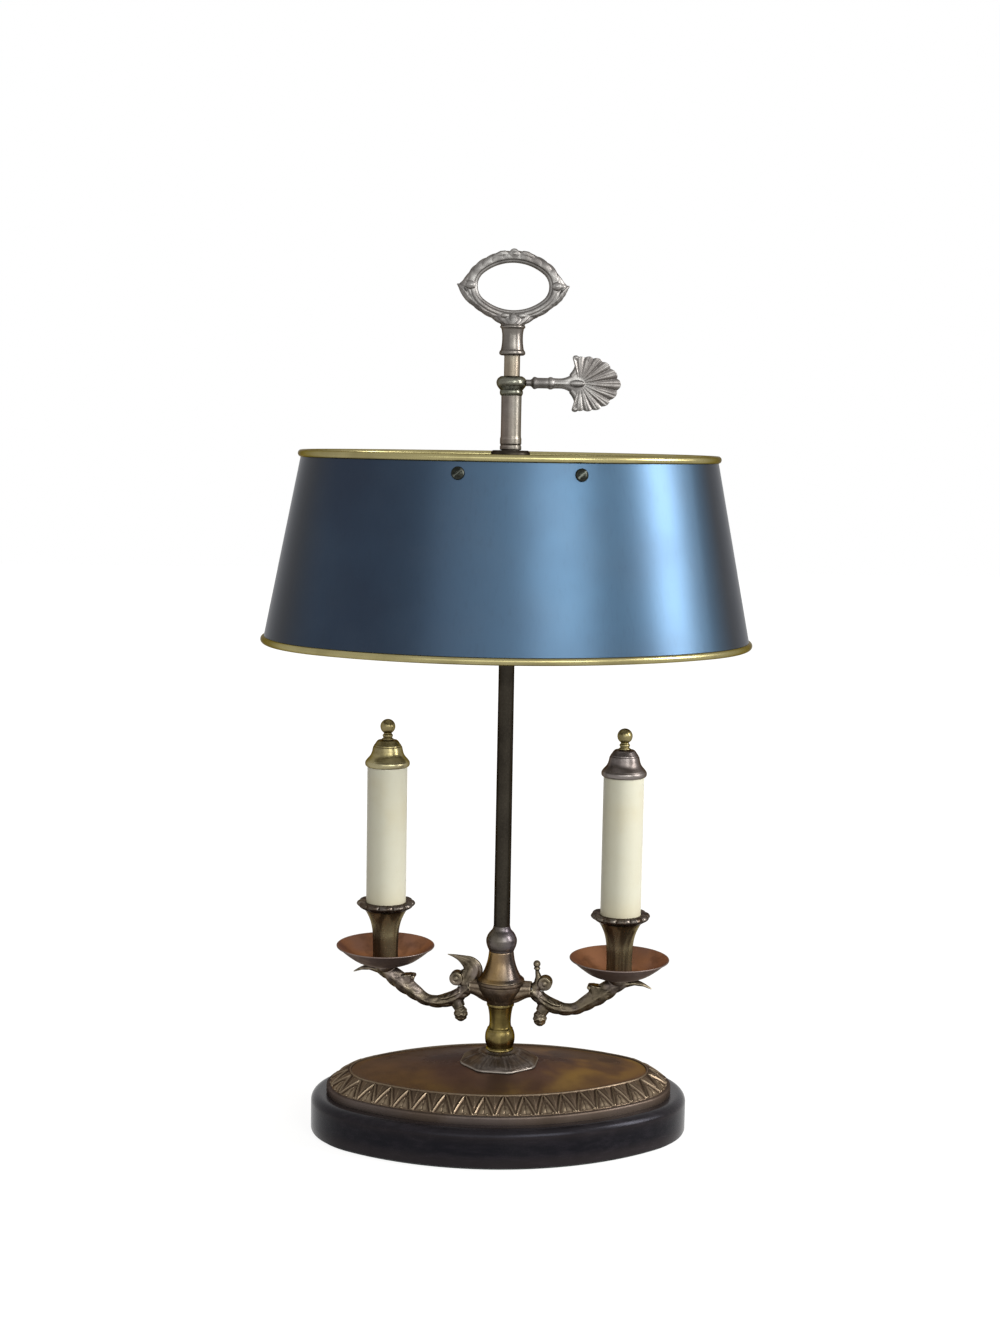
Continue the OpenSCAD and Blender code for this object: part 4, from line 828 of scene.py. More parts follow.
def moulded(tree, shader, place, dark, light, scale=500.0, rough=0.4):
    """Moulded plastic or porcelain with a faint grain and mottling."""
    grain = noise(tree, place, scale)
    body = mixed(tree, ranged(tree, noise(tree, place, 80.0), 0.4, 0.7), tone(*dark), tone(*light))
    feed(tree, shader, {"Base Color": dusted(tree, place, body, (130, 124, 114), 0.12, 90.0),
        "Roughness": raised(tree, rough - 0.06, grain, 0.14)})
    bumped(tree, shader, grain, 0.00005, 0.4)


def frosted(tree, shader, place):
    """Soft white bulb glass, a little milky."""
    cloud = noise(tree, place, 50.0)
    body = mixed(tree, ranged(tree, cloud, 0.35, 0.7), tone(240, 238, 230), tone(228, 226, 216))
    feed(tree, shader, {"Base Color": body, "Roughness": raised(tree, 0.2, cloud, 0.1),
        "Transmission Weight": 0.25})
    bumped(tree, shader, noise(tree, place, 1200.0, 2.0), 0.00001, 0.3)


OTHERS = {
    "dish_field": (dish_metal,),
    "pan_metal": (pan_metal,),
    "shade_paint": (shade_paint,),
    "candle_wax": (wax,),
    "plinth_wood": (black_wood,),
    "felt": (felt_cloth,),
    "black_plastic": (moulded, (24, 24, 26), (36, 34, 34)),
    "porcelain": (moulded, (226, 220, 204), (214, 206, 188), 300.0, 0.3),
    "lead_sheath": (moulded, (60, 52, 40), (80, 70, 54), 700.0, 0.5),
    "bulb_glass": (frosted,),
}
FINISHES = {}


def finish(name):
    """The material of that name, built the first time that it is asked for."""
    if name not in FINISHES:
        FINISHES[name], *parts = fresh(name)
        if name in METALS:
            *row, special = METALS[name]
            brass(*parts, *row, **special)
        else:
            maker, *row = OTHERS[name]
            maker(*parts, *row)
    return FINISHES[name]


def dress(node, material):
    """Gives a CAD node its material."""
    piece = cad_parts[node]
    if not piece.material_slots:
        piece.data.materials.append(finish(material))
    for slot in piece.material_slots:
        slot.material = finish(material)


# ---------- Turned pieces ----------


def turned_piece(name, node, body, material, profile, count=96, relief=(4, 0.12), steps=4):
    """A turned piece round its CAD node's axis; its profile starts at the node's lowest point."""
    x, y, z0, _ = spot(node)
    line = finer(soften(profile, steps=steps), 0.6 if span(node, 2) < 70 else 3.0)
    skin = Skin().lathe(line, (x, y, z0), count)
    finish_piece(skin.piece(name), body, material, (node,), relief=relief)


class LAMP_OT_column(Operator):
    """Turns the column: baluster, bell, knop and bronzed tube"""
    bl_idname = "lamp.column"
    bl_label = "Column"

    def execute(self, context):
        r, h = reach("lower_baluster")
        turned_piece("baluster", "lower_baluster", "lamp", "baluster_brass",
            [(BORE, 0), (r - 1.1, 0, 0.3), (r - 0.7, 0.9, 0.8), (r - 1.1, 1.8, 0.3),
            (r - 1.8, 2.2, 0.4), (r - 0.9, 4.2), (r - 0.15, 7), (r, 9.5), (r - 0.15, 12.5),
            (r - 0.8, 15, 1), (r - 1.5, 16.4, 0.3), (r - 1.6, 17.2, 0.3), (r - 2.9, 18.6),
            (r - 3.35, 21.5), (r - 3.25, 26), (r - 2.7, h - 7), (r - 1.7, h - 2.6, 0.4),
            (r - 1.1, h - 2.2, 0.3), (r - 0.9, h - 1.2, 0.5), (r - 1, h, 0.3), (BORE, h)])
        r, h = reach("bell_cone")
        turned_piece("bell", "bell_cone", "lamp", "bell_brass",
            [(BORE, 0), (r - 0.2, 0, 0.2), (r, 0.4, 0.3), (r - 0.1, 0.9, 0.3), (r - 0.8, 1.4, 0.3),
            (r - 1.3, 1.9, 0.3), (r - 2.6, 2.8), (r - 4.6, 6.4), (r - 6.3, 10.6), (r - 7.6, 15),
            (r - 8.3, 19), (r - 8.7, h - 0.8, 0.4), (r - 9, h, 0.2), (BORE, h)])
        r, h = reach("column_knop")
        top = span("column_tube", 0) / 2
        turned_piece("knop", "column_knop", "lamp", "knop_bronze",
            [(BORE, 0), (r - 2.4, 0, 0.2), (r - 2.1, 0.8, 0.4), (r - 1.9, 1.4, 0.2), (r - 0.9, 3.6),
            (r - 0.15, 6.4), (r, 8.4), (r - 0.25, 10.2), (r - 1.5, 13.2), (r - 3.2, 15.4),
            (r - 4.6, 16.8), (r - 5.3, 18.4), (top + 0.15, h - 0.2, 0.3), (top, h, 0.1), (BORE, h)])
        r, h = reach("column_tube")
        turned_piece("tube", "column_tube", "lamp", "tube_bronze",
            [(5.1, 0), (r, 0, 0.2), (r, 0.6, 0.1)]
            + [(r - 0.45 * k / 6, h * k / 6, 0.1) for k in range(1, 6)] + [(r - 0.45, h - 0.3, 0.2),
            (r - 0.7, h, 0.2), (5.1, h)], count=72)
        return {"FINISHED"}


class LAMP_OT_hub(Operator):
    """Casts the hub of the arms, with its leaves and lugs"""
    bl_idname = "lamp.hub"
    bl_label = "Arm hub"

    def execute(self, context):
        relief = context.scene.lamp_sizes.hub_relief / MM
        r, h = span("bell_cone", 0) / 2 + 0.5, span("arm_hub", 2)
        z0 = spot("arm_hub")[2]
        line = soften([(BORE, 0), (r - 8.2, 0, 0.3), (r - 7.6, 1.2, 0.5), (r - 7.2, 1.9, 0.3),
            (r - 6.6, 3.4), (r - 4, 7.2), (r - 1.5, 11.4), (r - 0.8, h - 4.0, 0.5),
            (r - 0.9, h - 3.2, 0.3), (r - 0.2, h - 2.4, 0.4), (r, h - 1.5, 0.5),
            (r - 0.3, h - 0.4, 0.3), (r - 0.8, h, 0.2), (BORE, h)])
        fine = []
        for a, b in zip(line, line[1:]):
            parts = max(1, int(math.dist(a, b) / 0.35)) if min(a[0], b[0]) > BORE + 0.2 else 1
            fine += between(a, b, parts)
        fine.append(line[-1])

        def leaves(angle, radius, height):
            s = (height - 1.9) / (h - 4.2 - 1.9)
            if radius < BORE + 0.2 or not 0 < s < 1:
                return 0.0
            swell = math.sin(math.pi * min(1, s * 1.15) ** 0.8)
            big = wave(angle + 0.13, 10) ** 0.7
            veins = 0.35 * np.abs(np.cos(angle * 20 + 6 * s)) * (big > 0.45)
            tip = np.clip(1.25 - s - 0.45 * (1 - big), 0, 1)
            return relief * (swell * (1.1 * big * np.minimum(1, tip * 3) - 0.55) - 0.5 * swell
                * veins)
        skin = Skin().lathe(fine, (0, 0, z0), 320, relief=leaves)
        lug = 6.4
        z = z0 + h - lug - 0.1
        a = circle(72)
        for side in (1, -1):
            rings = []
            for x, wide, down in smooth_path([(9, 9.5, 12.5), (13, 8.8, 11.6), (16.5, 7.8, 9.8),
                    (19.5, 7.0, 8.0), (22, 6.5, 6.9), (24.2, 6.4, 6.4)], 5):
                fold = 1 - 0.05 * (1 - np.abs(np.cos(a * 4.5)) ** 0.6)
                low = np.where(np.sin(a) < 0, down, lug)
                rings.append(np.column_stack([np.full(72, side * x), wide * fold * np.cos(a),
                    z + np.minimum(low * fold * np.sin(a), lug)]))
            rings.append(np.column_stack([np.full(72, side * 24.5), 5.8 * np.cos(a),
                z + 5.8 * np.sin(a)]))
            skin.rings(rings)
        finish_piece(skin.piece("hub", ARM_TURN), "lamp", "hub_cast", ("arm_hub",),
            50.0, (6, 0.22))
        return {"FINISHED"}


class LAMP_OT_foot(Operator):
    """Casts the eight-sided leafy foot of the column"""
    bl_idname = "lamp.foot"
    bl_label = "Foot"

    def execute(self, context):
        relief = context.scene.lamp_sizes.foot_relief / MM
        z0, z1 = spot("foot_boss")[2:]
        h = z1 - z0
        flat, neck = 30.0, span("lower_baluster", 0) / 2 - 0.9
        angle = circle(320)
        eighth = math.pi / 4
        inside = np.abs((angle + eighth / 2) % eighth - eighth / 2)
        octagon = np.minimum(flat / np.cos(inside), flat * 1.05)
        rows = [(1.0, 0.0), (1.0, 0.7), (0.99, 1.1), (0.972, 1.3)]
        body = [(flat - 1.0, 1.5), (flat - 1.9, 0.2 * h), (flat - 4.2, 0.36 * h),
            (flat - 9, 0.56 * h), (flat - 13.6, 0.76 * h), (neck + 1.6, h - 1.0), (neck, h)]
        rings = [level_ring(angle, octagon * s, octagon * s, z0 + z) for s, z in rows]
        rs = smooth_path(body, 11)
        for i, (r, z) in enumerate(rs):
            t = i / (len(rs) - 1)
            share = (r - neck) / (flat - neck)
            radius = r + (octagon / flat - 1) * r * min(1, share * 1.2)
            main = wave(angle, 8) ** 0.7
            small = wave(angle + eighth / 2, 8) ** 0.7
            veins = np.abs(np.cos(angle * 24 + 1.5 * np.sin(angle * 8) * t))
            swell = math.sin(math.pi * min(1.0, t * 1.04)) ** 0.7
            fold = 1.3 * main * (1 - 0.7 * t) + 1.1 * small * t - 0.16 * veins ** 0.7 - 0.6
            knob = 1.0 * math.exp(-((t - 0.72) / 0.07) ** 2) * wave(angle, 16) ** 0.5
            lift = relief * swell * (fold + knob)
            radius = radius + 0.6 * lift
            rings.append(level_ring(angle, radius, radius, np.minimum(z0 + z + lift, z1)))
        rings += [level_ring(angle, BORE, BORE, z) for z in (z1, z0)]
        finish_piece(Skin().rings(rings, True).piece("foot", ARM_TURN), "lamp",
            "foot_cast", ("foot_boss",), 55.0, (6, 0.25))
        return {"FINISHED"}


# ---------- Base ----------


class LAMP_OT_plinth(Operator):
    """Shapes the oval wooden plinth, its recess, groove and bushing"""
    bl_idname = "lamp.plinth"
    bl_label = "Plinth"

    def execute(self, context):
        z0, z1 = spot("wood_plinth")[2:]
        line = plinth_line(72, 96)
        edge = 7
        profile = [(-2.2, z0), (-0.9, z0), (-0.3, z0 + 0.35), (0, z0 + 1.1)]
        profile += [(0, z0 + 1.1 + (z1 - edge - z0 - 1.1) * k / 4) for k in (1, 2, 3)]
        profile += [(-edge + edge * math.cos(a), z1 - edge + edge * math.sin(a))
            for a in np.radians(np.arange(0, 91, 7.5))]
        profile += [(-9, z1), (-20, z1)]
        rings = [oval_ring(line, o, z) for o, z in profile]
        unit = outward(rings[0])
        for r, z in ((4.9, z1), (4.9, z0 + 18), (22, z0 + 18), (22, z0)):
            rings.append(np.column_stack([unit * r, np.full(len(unit), z)]))
        piece = Skin().rings(rings, True).piece("plinth")
        half = span("wood_plinth", 1) / 2
        drill = [(TINY, 0), (5.06, 0), (5.06, 20), (TINY, 20)]
        cut(piece, Skin().lathe(drill, (0, half - 13, 9), 48, "Y"))
        w, y1 = 4.5, half - 11
        cut(piece, Skin().rings([np.array([(-w, -1, z), (w, -1, z), (w, y1, z), (-w, y1, z)])
            for z in (z0 - 1, z0 + 11)]))
        finish_piece(piece, "lamp", "plinth_wood", ("wood_plinth",), 35.0, (6, 0.3))
        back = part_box("cord_bushing")[1].y / MM
        
        ring = soften([(3.9, 0, 0.4), (7, 0, 0.3), (7, 0.7, 0.4), (6.3, 2, 0.5), (5, 2, 0.1),
            (5, 14), (3.9, 14)], 0.3)
        skin = Skin().lathe([(r, -d) for r, d in ring], (0, back, middle("cord_bushing")), 64, "Y")
        finish_piece(skin.piece("bushing"), "lamp", "black_plastic",
            ("cord_bushing",), 45.0)
        return {"FINISHED"}


class LAMP_OT_dish(Operator):
    """Casts the brass dish with its lip, leaf-and-dart border, bead and domed field"""
    bl_idname = "lamp.dish"
    bl_label = "Dish"

    def execute(self, context):
        sizes = context.scene.lamp_sizes
        relief = sizes.leaf_relief / MM

        def columns_line(edge):
            columns = leaf_columns(min(0.93, max(0.12, edge)))
            return columns, plinth_line(sizes.leaves_end * len(columns),
                sizes.leaves_side * len(columns), columns)
        z0 = spot("wood_plinth")[3]
        lip, margin, land, band, rise = z0 + 6, 12.0, 2.6, 15.2, 11.4
        bead = lip + rise
        seat = spot("foot_boss")[2]
        rings, marks = [], []
        _, line = columns_line(1.0)

        def ring(out, z, mark):
            rings.append(oval_ring(line, out, z))
            marks.append(mark)

        def field_ring(flat, z):
            rings.append(np.column_stack([flat, np.full(len(flat), z)]))
            marks.append(0.0)
        for out, z in ((-margin, z0), (-margin, z0 + 4.4), (-margin - 0.15, lip - 0.6),
                (-margin - 0.6, lip - 0.1), (-margin - 1.1, lip + 0.1), (-margin - 2.2, lip + 0.2),
                (-margin - land, lip + 0.3)):
            ring(out, z, 0.75)
        rows = 40
        for k in range(rows + 1):
            v = k / rows
            out = -margin - land - v * band
            z = lip + 0.4 + v * (rise - 1.4) + 0.8 * math.sin(math.pi * v)
            fade = min(1, v / 0.06) * min(1, (1 - v) / 0.05)
            # the two leaning edges meet in a point near the bead
            edge = 0.93 * (1 - v) ** 0.9
            columns, line = columns_line(edge)
            # u is 0 at the leaf's middle and 1 at its sides
            u = np.tile(np.abs(columns - 0.5) * 2, 2 * (sizes.leaves_end + sizes.leaves_side))
            blade = np.exp(-((u - edge) / 0.11) ** 2)
            # the tongue inside them, with a groove down its middle
            tongue = np.clip((edge - 0.24 - u) / 0.1, 0, 1) * (0.62 + 0.3 * math.cos(3 * v))
            groove = np.exp(-(u / 0.045) ** 2) * (u < edge)
            # the dart between two leaves, a small leaf that hangs from the bead
            dart = np.clip((u - edge - 0.27) / 0.12, 0, 1) * (0.7 * min(1, v * 1.6))
            rib = np.exp(-((1 - u) / 0.05) ** 2) * 0.5
            veins = 0.18 * np.cos((u * 9 + v * 7) * math.pi) * (u < edge - 0.2)
            lift = relief * fade * (1.15 * blade + 0.55 * tongue - 0.4 * groove + 0.6 * dart + rib
                * dart + veins - 0.32)
            ring(out + 0.5 * lift, z + 0.84 * lift, 1.0)
        edge_x = -margin - land - band
        for out, z in ((edge_x - 0.1, bead - 0.55), (edge_x - 0.45, bead - 0.12),
                (edge_x - 0.9, bead), (edge_x - 1.35, bead - 0.12), (edge_x - 1.7, bead - 0.6),
                (edge_x - 1.85, bead - 1.3)):
            ring(out, z, 0.9)
        inner = oval_ring(line, edge_x - 2.0, bead - 1.45)
        unit = outward(inner)
        seat_r = 28.6
        field0 = bead - 1.4
        for k in range(12):
            f = k / 11
            flat = inner[:, :2] + f * (unit * seat_r - inner[:, :2])
            z = field0 + (seat - field0) * (0.9 * f + 0.1 * f * f)
            field_ring(flat, z)
        for r, z in ((4.95, seat), (4.95, seat - 2.2), (seat_r, seat - 2.2)):
            field_ring(unit * r, z)
        for k in range(6, -1, -1):
            f = k / 7
            flat = inner[:, :2] + f * (unit * seat_r - inner[:, :2])
            z = field0 - 2.2 + (seat - field0) * (0.9 * f + 0.1 * f * f)
            field_ring(flat * 0.995, z)
        for out, z in ((edge_x, bead - 3.8), (-margin - land - 1.5, lip - 2.2),
                (-margin - 2.2, lip - 4.2), (-margin - 2.2, z0)):
            ring(out, z, 0.75)
        finish_piece(Skin().rings(rings, True, marks).piece("dish"), "lamp",
            "dish_field", ("base_dish",), 60.0, (7, 0.35))
        foot = oval_ring(plinth_line(60, 90), -margin - land - 1.0, lip + 1.0) * MM
        pearls = beads_along(foot, sizes.pearls, sizes.pearl / 2, "dish_field")
        finish_piece(pearls, "lamp", "dish_field", (), 80.0)
        write_marks(pearls.data, "zone", 1.0)
        write_marks(pearls.data, "relief", 0.35)
        return {"FINISHED"}


# ---------- Geometry Nodes ----------

WHOLE, OBJECT, MATERIAL = "NodeSocketInt", "NodeSocketObject", "NodeSocketMaterial"
GEOMETRY = "NodeSocketGeometry"


def geometry_tree(name, inputs):
    """An empty Geometry Nodes tree with a geometry in and out and named inputs."""
    return group(name, [("Geometry", GEOMETRY, None)] + inputs, [("Geometry", GEOMETRY)],
        "GeometryNodeTree")


def node_out(tree, kind, sockets, **settings):
    """The first output of a new node."""
    return add(tree, kind, sockets, **settings).outputs[0]


def real(tree, points, instance, turns=None):
    """Copies of an instance on the points, made real."""
    sockets = {"Points": points, "Instance": instance}
    if turns:
        sockets["Rotation"] = turns
    set_on = node_out(tree, "GeometryNodeInstanceOnPoints", sockets)
    return node_out(tree, "GeometryNodeRealizeInstances", {"Geometry": set_on})


def shape_of(tree, piece):
    """The geometry of another object."""
    return add(tree, "GeometryNodeObjectInfo", {"Object": piece}).outputs["Geometry"]


def grow(piece, tree, out, geometry, material, values):
    """Ends a tree with its material, runs it on a piece and leaves a plain mesh."""
    feed(tree, out, {0: node_out(tree, "GeometryNodeSetMaterial",
        {"Geometry": geometry, "Material": material})})
    step = piece.modifiers.new(tree.name, "NODES")
    step.node_group = tree
    keys = {item.name: item.identifier for item in tree.interface.items_tree
        if item.item_type == "SOCKET" and item.in_out == "INPUT"}
    for label, value in values.items():
        step[keys[label]] = value
    piece.update_tag()
    return baked(piece)


def points_piece(name, points, edges=()):
    """A piece of bare points in metres, for a tree to work on."""
    mesh = bpy.data.meshes.new(name)
    mesh.from_pydata(points, edges, [])
    return put(name, mesh)


def beads_along(ring, count, radius, material):
    """Pearls set along a closed line of points, in metres."""
    n = len(ring)
    piece = points_piece("pearls", ring.tolist(), [(i, (i + 1) % n) for i in range(n)])
    tree, g, out = geometry_tree("pearl_row",
        [("Count", WHOLE, 80), ("Radius", FLOAT, 0.001), ("Material", MATERIAL, None)])
    curve = node_out(tree, "GeometryNodeMeshToCurve", {"Mesh": g["Geometry"]})
    even = node_out(tree, "GeometryNodeResampleCurve", {"Curve": curve, "Count": g["Count"]})
    pearl = node_out(tree, "GeometryNodeMeshIcoSphere", {"Radius": g["Radius"], "Subdivisions": 3})
    smooth = node_out(tree, "GeometryNodeSetShadeSmooth", {"Geometry": pearl})
    flat = node_out(tree, "GeometryNodeTransform", {"Geometry": smooth, "Scale": (1.0, 1.0, 0.8)})
    return grow(piece, tree, out, real(tree, even, flat), g["Material"],
        {"Count": count, "Radius": radius, "Material": finish(material)})


def ribs_round(name, tool, centre, count, radius, material):
    """Copies of a small closed mesh set round an upright circle's centre, in metres."""
    piece = points_piece(name, [centre])
    tree, g, out = geometry_tree("ribs_round",
        [("Count", WHOLE, 24), ("Radius", FLOAT, 0.006), ("Centre", VECTOR, None),
        ("Rib", OBJECT, None), ("Material", MATERIAL, None)])
    places = node_out(tree, "GeometryNodeMeshCircle",
        {"Vertices": g["Count"], "Radius": g["Radius"]})
    step = calc(tree, "DIVIDE", 2 * math.pi, g["Count"])
    turn = times(tree, node_out(tree, "GeometryNodeInputIndex", {}), step)
    facing = node_out(tree, "ShaderNodeCombineXYZ", {"Z": turn})
    ribs = real(tree, places, shape_of(tree, g["Rib"]), facing)
    there = node_out(tree, "GeometryNodeTransform", {"Geometry": ribs, "Translation": g["Centre"]})
    grow(piece, tree, out, there, g["Material"],
        {"Count": count, "Radius": radius, "Centre": centre, "Rib": tool,
        "Material": finish(material)})
    bpy.data.objects.remove(tool)
    return piece


# ---------- Arms ----------


def scroll(rows, steps=6, level=0, out=0, x_side=1, z_side=1):
    """A smooth line through [x, z, half height, half thickness]; a side of -1 mirrors it."""
    return [(x_side * (out + x), 0, level + z_side * z, h, t) for x, z, h,
        t in smooth_path(rows, steps)]


def leafy(lobes, depth=0.1, rib=0.06):
    """Pattern of a leaf round a scroll: a middle rib on each face and slanting lobes beside it."""
    def pattern(s, angle):
        across = np.abs(np.abs((angle + math.pi) % (2 * math.pi) - math.pi) / (math.pi / 2) - 1)
        groove = 1 - np.abs(np.cos(math.pi * (lobes * s + 0.75 * across))) ** 0.5
        calm = np.clip(-np.cos(angle), 0, 1) ** 3
        lobe = depth * groove * (1 - calm) * np.clip(across * 4, 0, 1)
        return 1 + rib * np.exp(-(across / 0.13) ** 2) - lobe
    return pattern


def fluted(count, depth=0.09):
    """Pattern of veins that run along a scroll."""
    return lambda s, angle: 1 - depth * (1 - np.abs(np.cos(angle * count / 2)) ** 0.6)


def volute(skin, centre, radius, half, eye):
    """A disc across Y with a rolled edge, a groove and an eye on both faces."""
    x, z = centre
    line = soften([(TINY, -half + 0.5), (eye + 0.3, -half + 0.5, 0.3),
        (eye + 1.1, -half - 0.3, 0.6), (radius - 0.6, -half - 0.2, 0.6), (radius, -half + 1, 0.6),
        (radius, half - 1, 0.6), (radius - 0.6, half + 0.2, 0.6), (eye + 1.1, half + 0.3, 0.6),
        (eye + 0.3, half - 0.5, 0.3), (TINY, half - 0.5)], 0.4)
    skin.lathe(line, (x, 0, z), 48, "Y")
    for s in (-1, 1):
        skin.ball((x, s * (half - 0.4), z), (eye, 1.0, eye), 20, 10)


def arm_skin(side):
    """The cast arm in its own plane, x outward; side -1 is the left one."""
    u = spot("arm_hub")[2]
    lz = spot("arm_hub")[3] - 6.5
    e = ARM_REACH
    skin = Skin()
    t = 4.5
    skin.sweep(scroll([(24.6, lz, 6.3, t + 0.6), (29.5, lz - 4.5, 5.6, t), (36, u + 1.6, 5.3, t),
        (47, u - 2.2, 5.2, t), (59, u - 1.6, 4.9, t), (e - 24, u + 4.2, 6.2, t + 0.6),
        (e - 13, u + 12, 7.4, t + 1.4), (e - 2, u + 19.6, 6.2, t + 1.6), (e + 9, u + 22.4, 3.2, t),
        (e + 18, u + 21.4, 1.7, t - 2), (e + 25.8, u + 18, 0.45, 0.8)], 9), 48,
        pattern=leafy(13, 0.2, 0.1))
    # leaf that lies on the arm's root and ends in a tip
    skin.sweep(scroll([(32, u + 7.4, 3.2, t + 0.2), (39, u + 3.6, 3.1, t + 0.6),
        (45, u + 1.6, 2.7, t + 0.5), (48.4, u + 1.7, 1.5, t - 0.6), (50, u + 2.4, 0.5, 1.5)]), 36,
        pattern=leafy(5, 0.2))
    # leaf that curls up below the pan: flat on top, with a rolled lip towards the column
    skin.sweep(scroll([(e - 14, u + 6.4, 5, t), (e - 16.6, u + 11, 5.8, t + 0.3),
        (e - 17.2, u + 15, 6.6, t + 0.5), (e - 16.8, u + 18.6, 7.4, t + 0.6)]), 40,
        pattern=fluted(9, 0.12))
    roll = soften([(TINY, -t - 0.9), (1.3, -t - 0.9, 0.5), (1.7, -t + 0.6), (1.5, 0),
        (1.7, t - 0.6), (1.3, t + 0.9, 0.5), (TINY, t + 0.9)], 0.8)
    skin.lathe(roll, (e - 22.9, 0, u + 17.2), 32, "Y")
    # volute, with the scroll that leads into it
    volute(skin, (35.2, lz + 6.0), 5.6, t + 0.3, 1.9)
    skin.sweep(scroll([(26.5, lz + 1, 4.4, t), (31, lz + 4, 4.2, t), (35, lz + 6, 3.8, t)]), 24)
    # bud on its short root
    skin.sweep(scroll([(36.4, u + 1, 5.2, 4), (34.2, u - 3, 5.4, 4.2), (32.6, u - 6, 4.9, 4.2)]),
        28, pattern=fluted(8, 0.12))
    skin.ball((31.6, 0, u - 10.8), (4.9, 4.4, 6.6), 48, 28, 7, 0.22)
    if side < 0:
        # broad leaf horn
        skin.sweep(scroll([(28.4, lz + 1.6, 6.4, t), (25.2, lz + 7.4, 8.0, t - 0.2),
            (23.0, lz + 13, 8.8, t - 0.8), (25.4, lz + 17.8, 6.8, 2.8), (31.6, lz + 21.4, 3.4, 1.9),
            (37.4, lz + 23.4, 1.5, 1.2), (43, lz + 24.5, 0.4, 0.5)], 9), 40, pattern=fluted(9, 0.2))
    else:
        # sprig with a small ball
        skin.sweep(scroll([(29.4, lz + 4, 3.6, 3.4), (29.8, lz + 10, 2.6, 2.4),
            (28.8, lz + 14.6, 1.7, 1.7), (28.5, lz + 19.5, 1.5, 1.5)], 6), 20)
        skin.lathe(soften([(TINY, -0.8), (2.4, -0.8, 0.3), (2.7, 0, 0.5), (2.4, 0.8, 0.3),
            (TINY, 0.8)], 0.3), (28.6, 0, lz + 17.2), 32)
        skin.ball((28.4, 0, lz + 20.8), (2.9, 2.9, 2.9), 28, 14)
    # round seat of the pan
    skin.lathe(soften([(TINY, -5), (7, -5, 0.4), (8.6, -2, 1), (9, -0.2, 0.3), (9, 0, 0.1),
        (TINY, 0)], 0.3), (e, 0, spot("right_pan")[2]), 48)
    return skin


class LAMP_OT_arms(Operator):
    """Casts the two scrolled candle arms"""
    bl_idname = "lamp.arms"
    bl_label = "Candle arms"

    def execute(self, context):
        for name, side, node in (("right_scroll", 1, "right_arm"), ("left_scroll", -1, "left_arm")):
            cast = arm_skin(side).piece(name, ARM_TURN + (math.pi if side < 0 else 0))
            piece = fused(cast, context.scene.lamp_sizes.arm_voxel, 2, 0.5)
            pan_r, top = 0.0388, spot("right_pan")[2] * MM
            axis = Vector((math.cos(ARM_TURN), math.sin(ARM_TURN), 0)) * (ARM_REACH * MM * side)
            for v in piece.data.vertices:
                if (v.co.xy - axis.xy).length < pan_r and v.co.z > top:
                    v.co.z = top
            finish_piece(piece, "lamp", "arm_cast", (node,), 75.0, (7, 0.4))
        return {"FINISHED"}


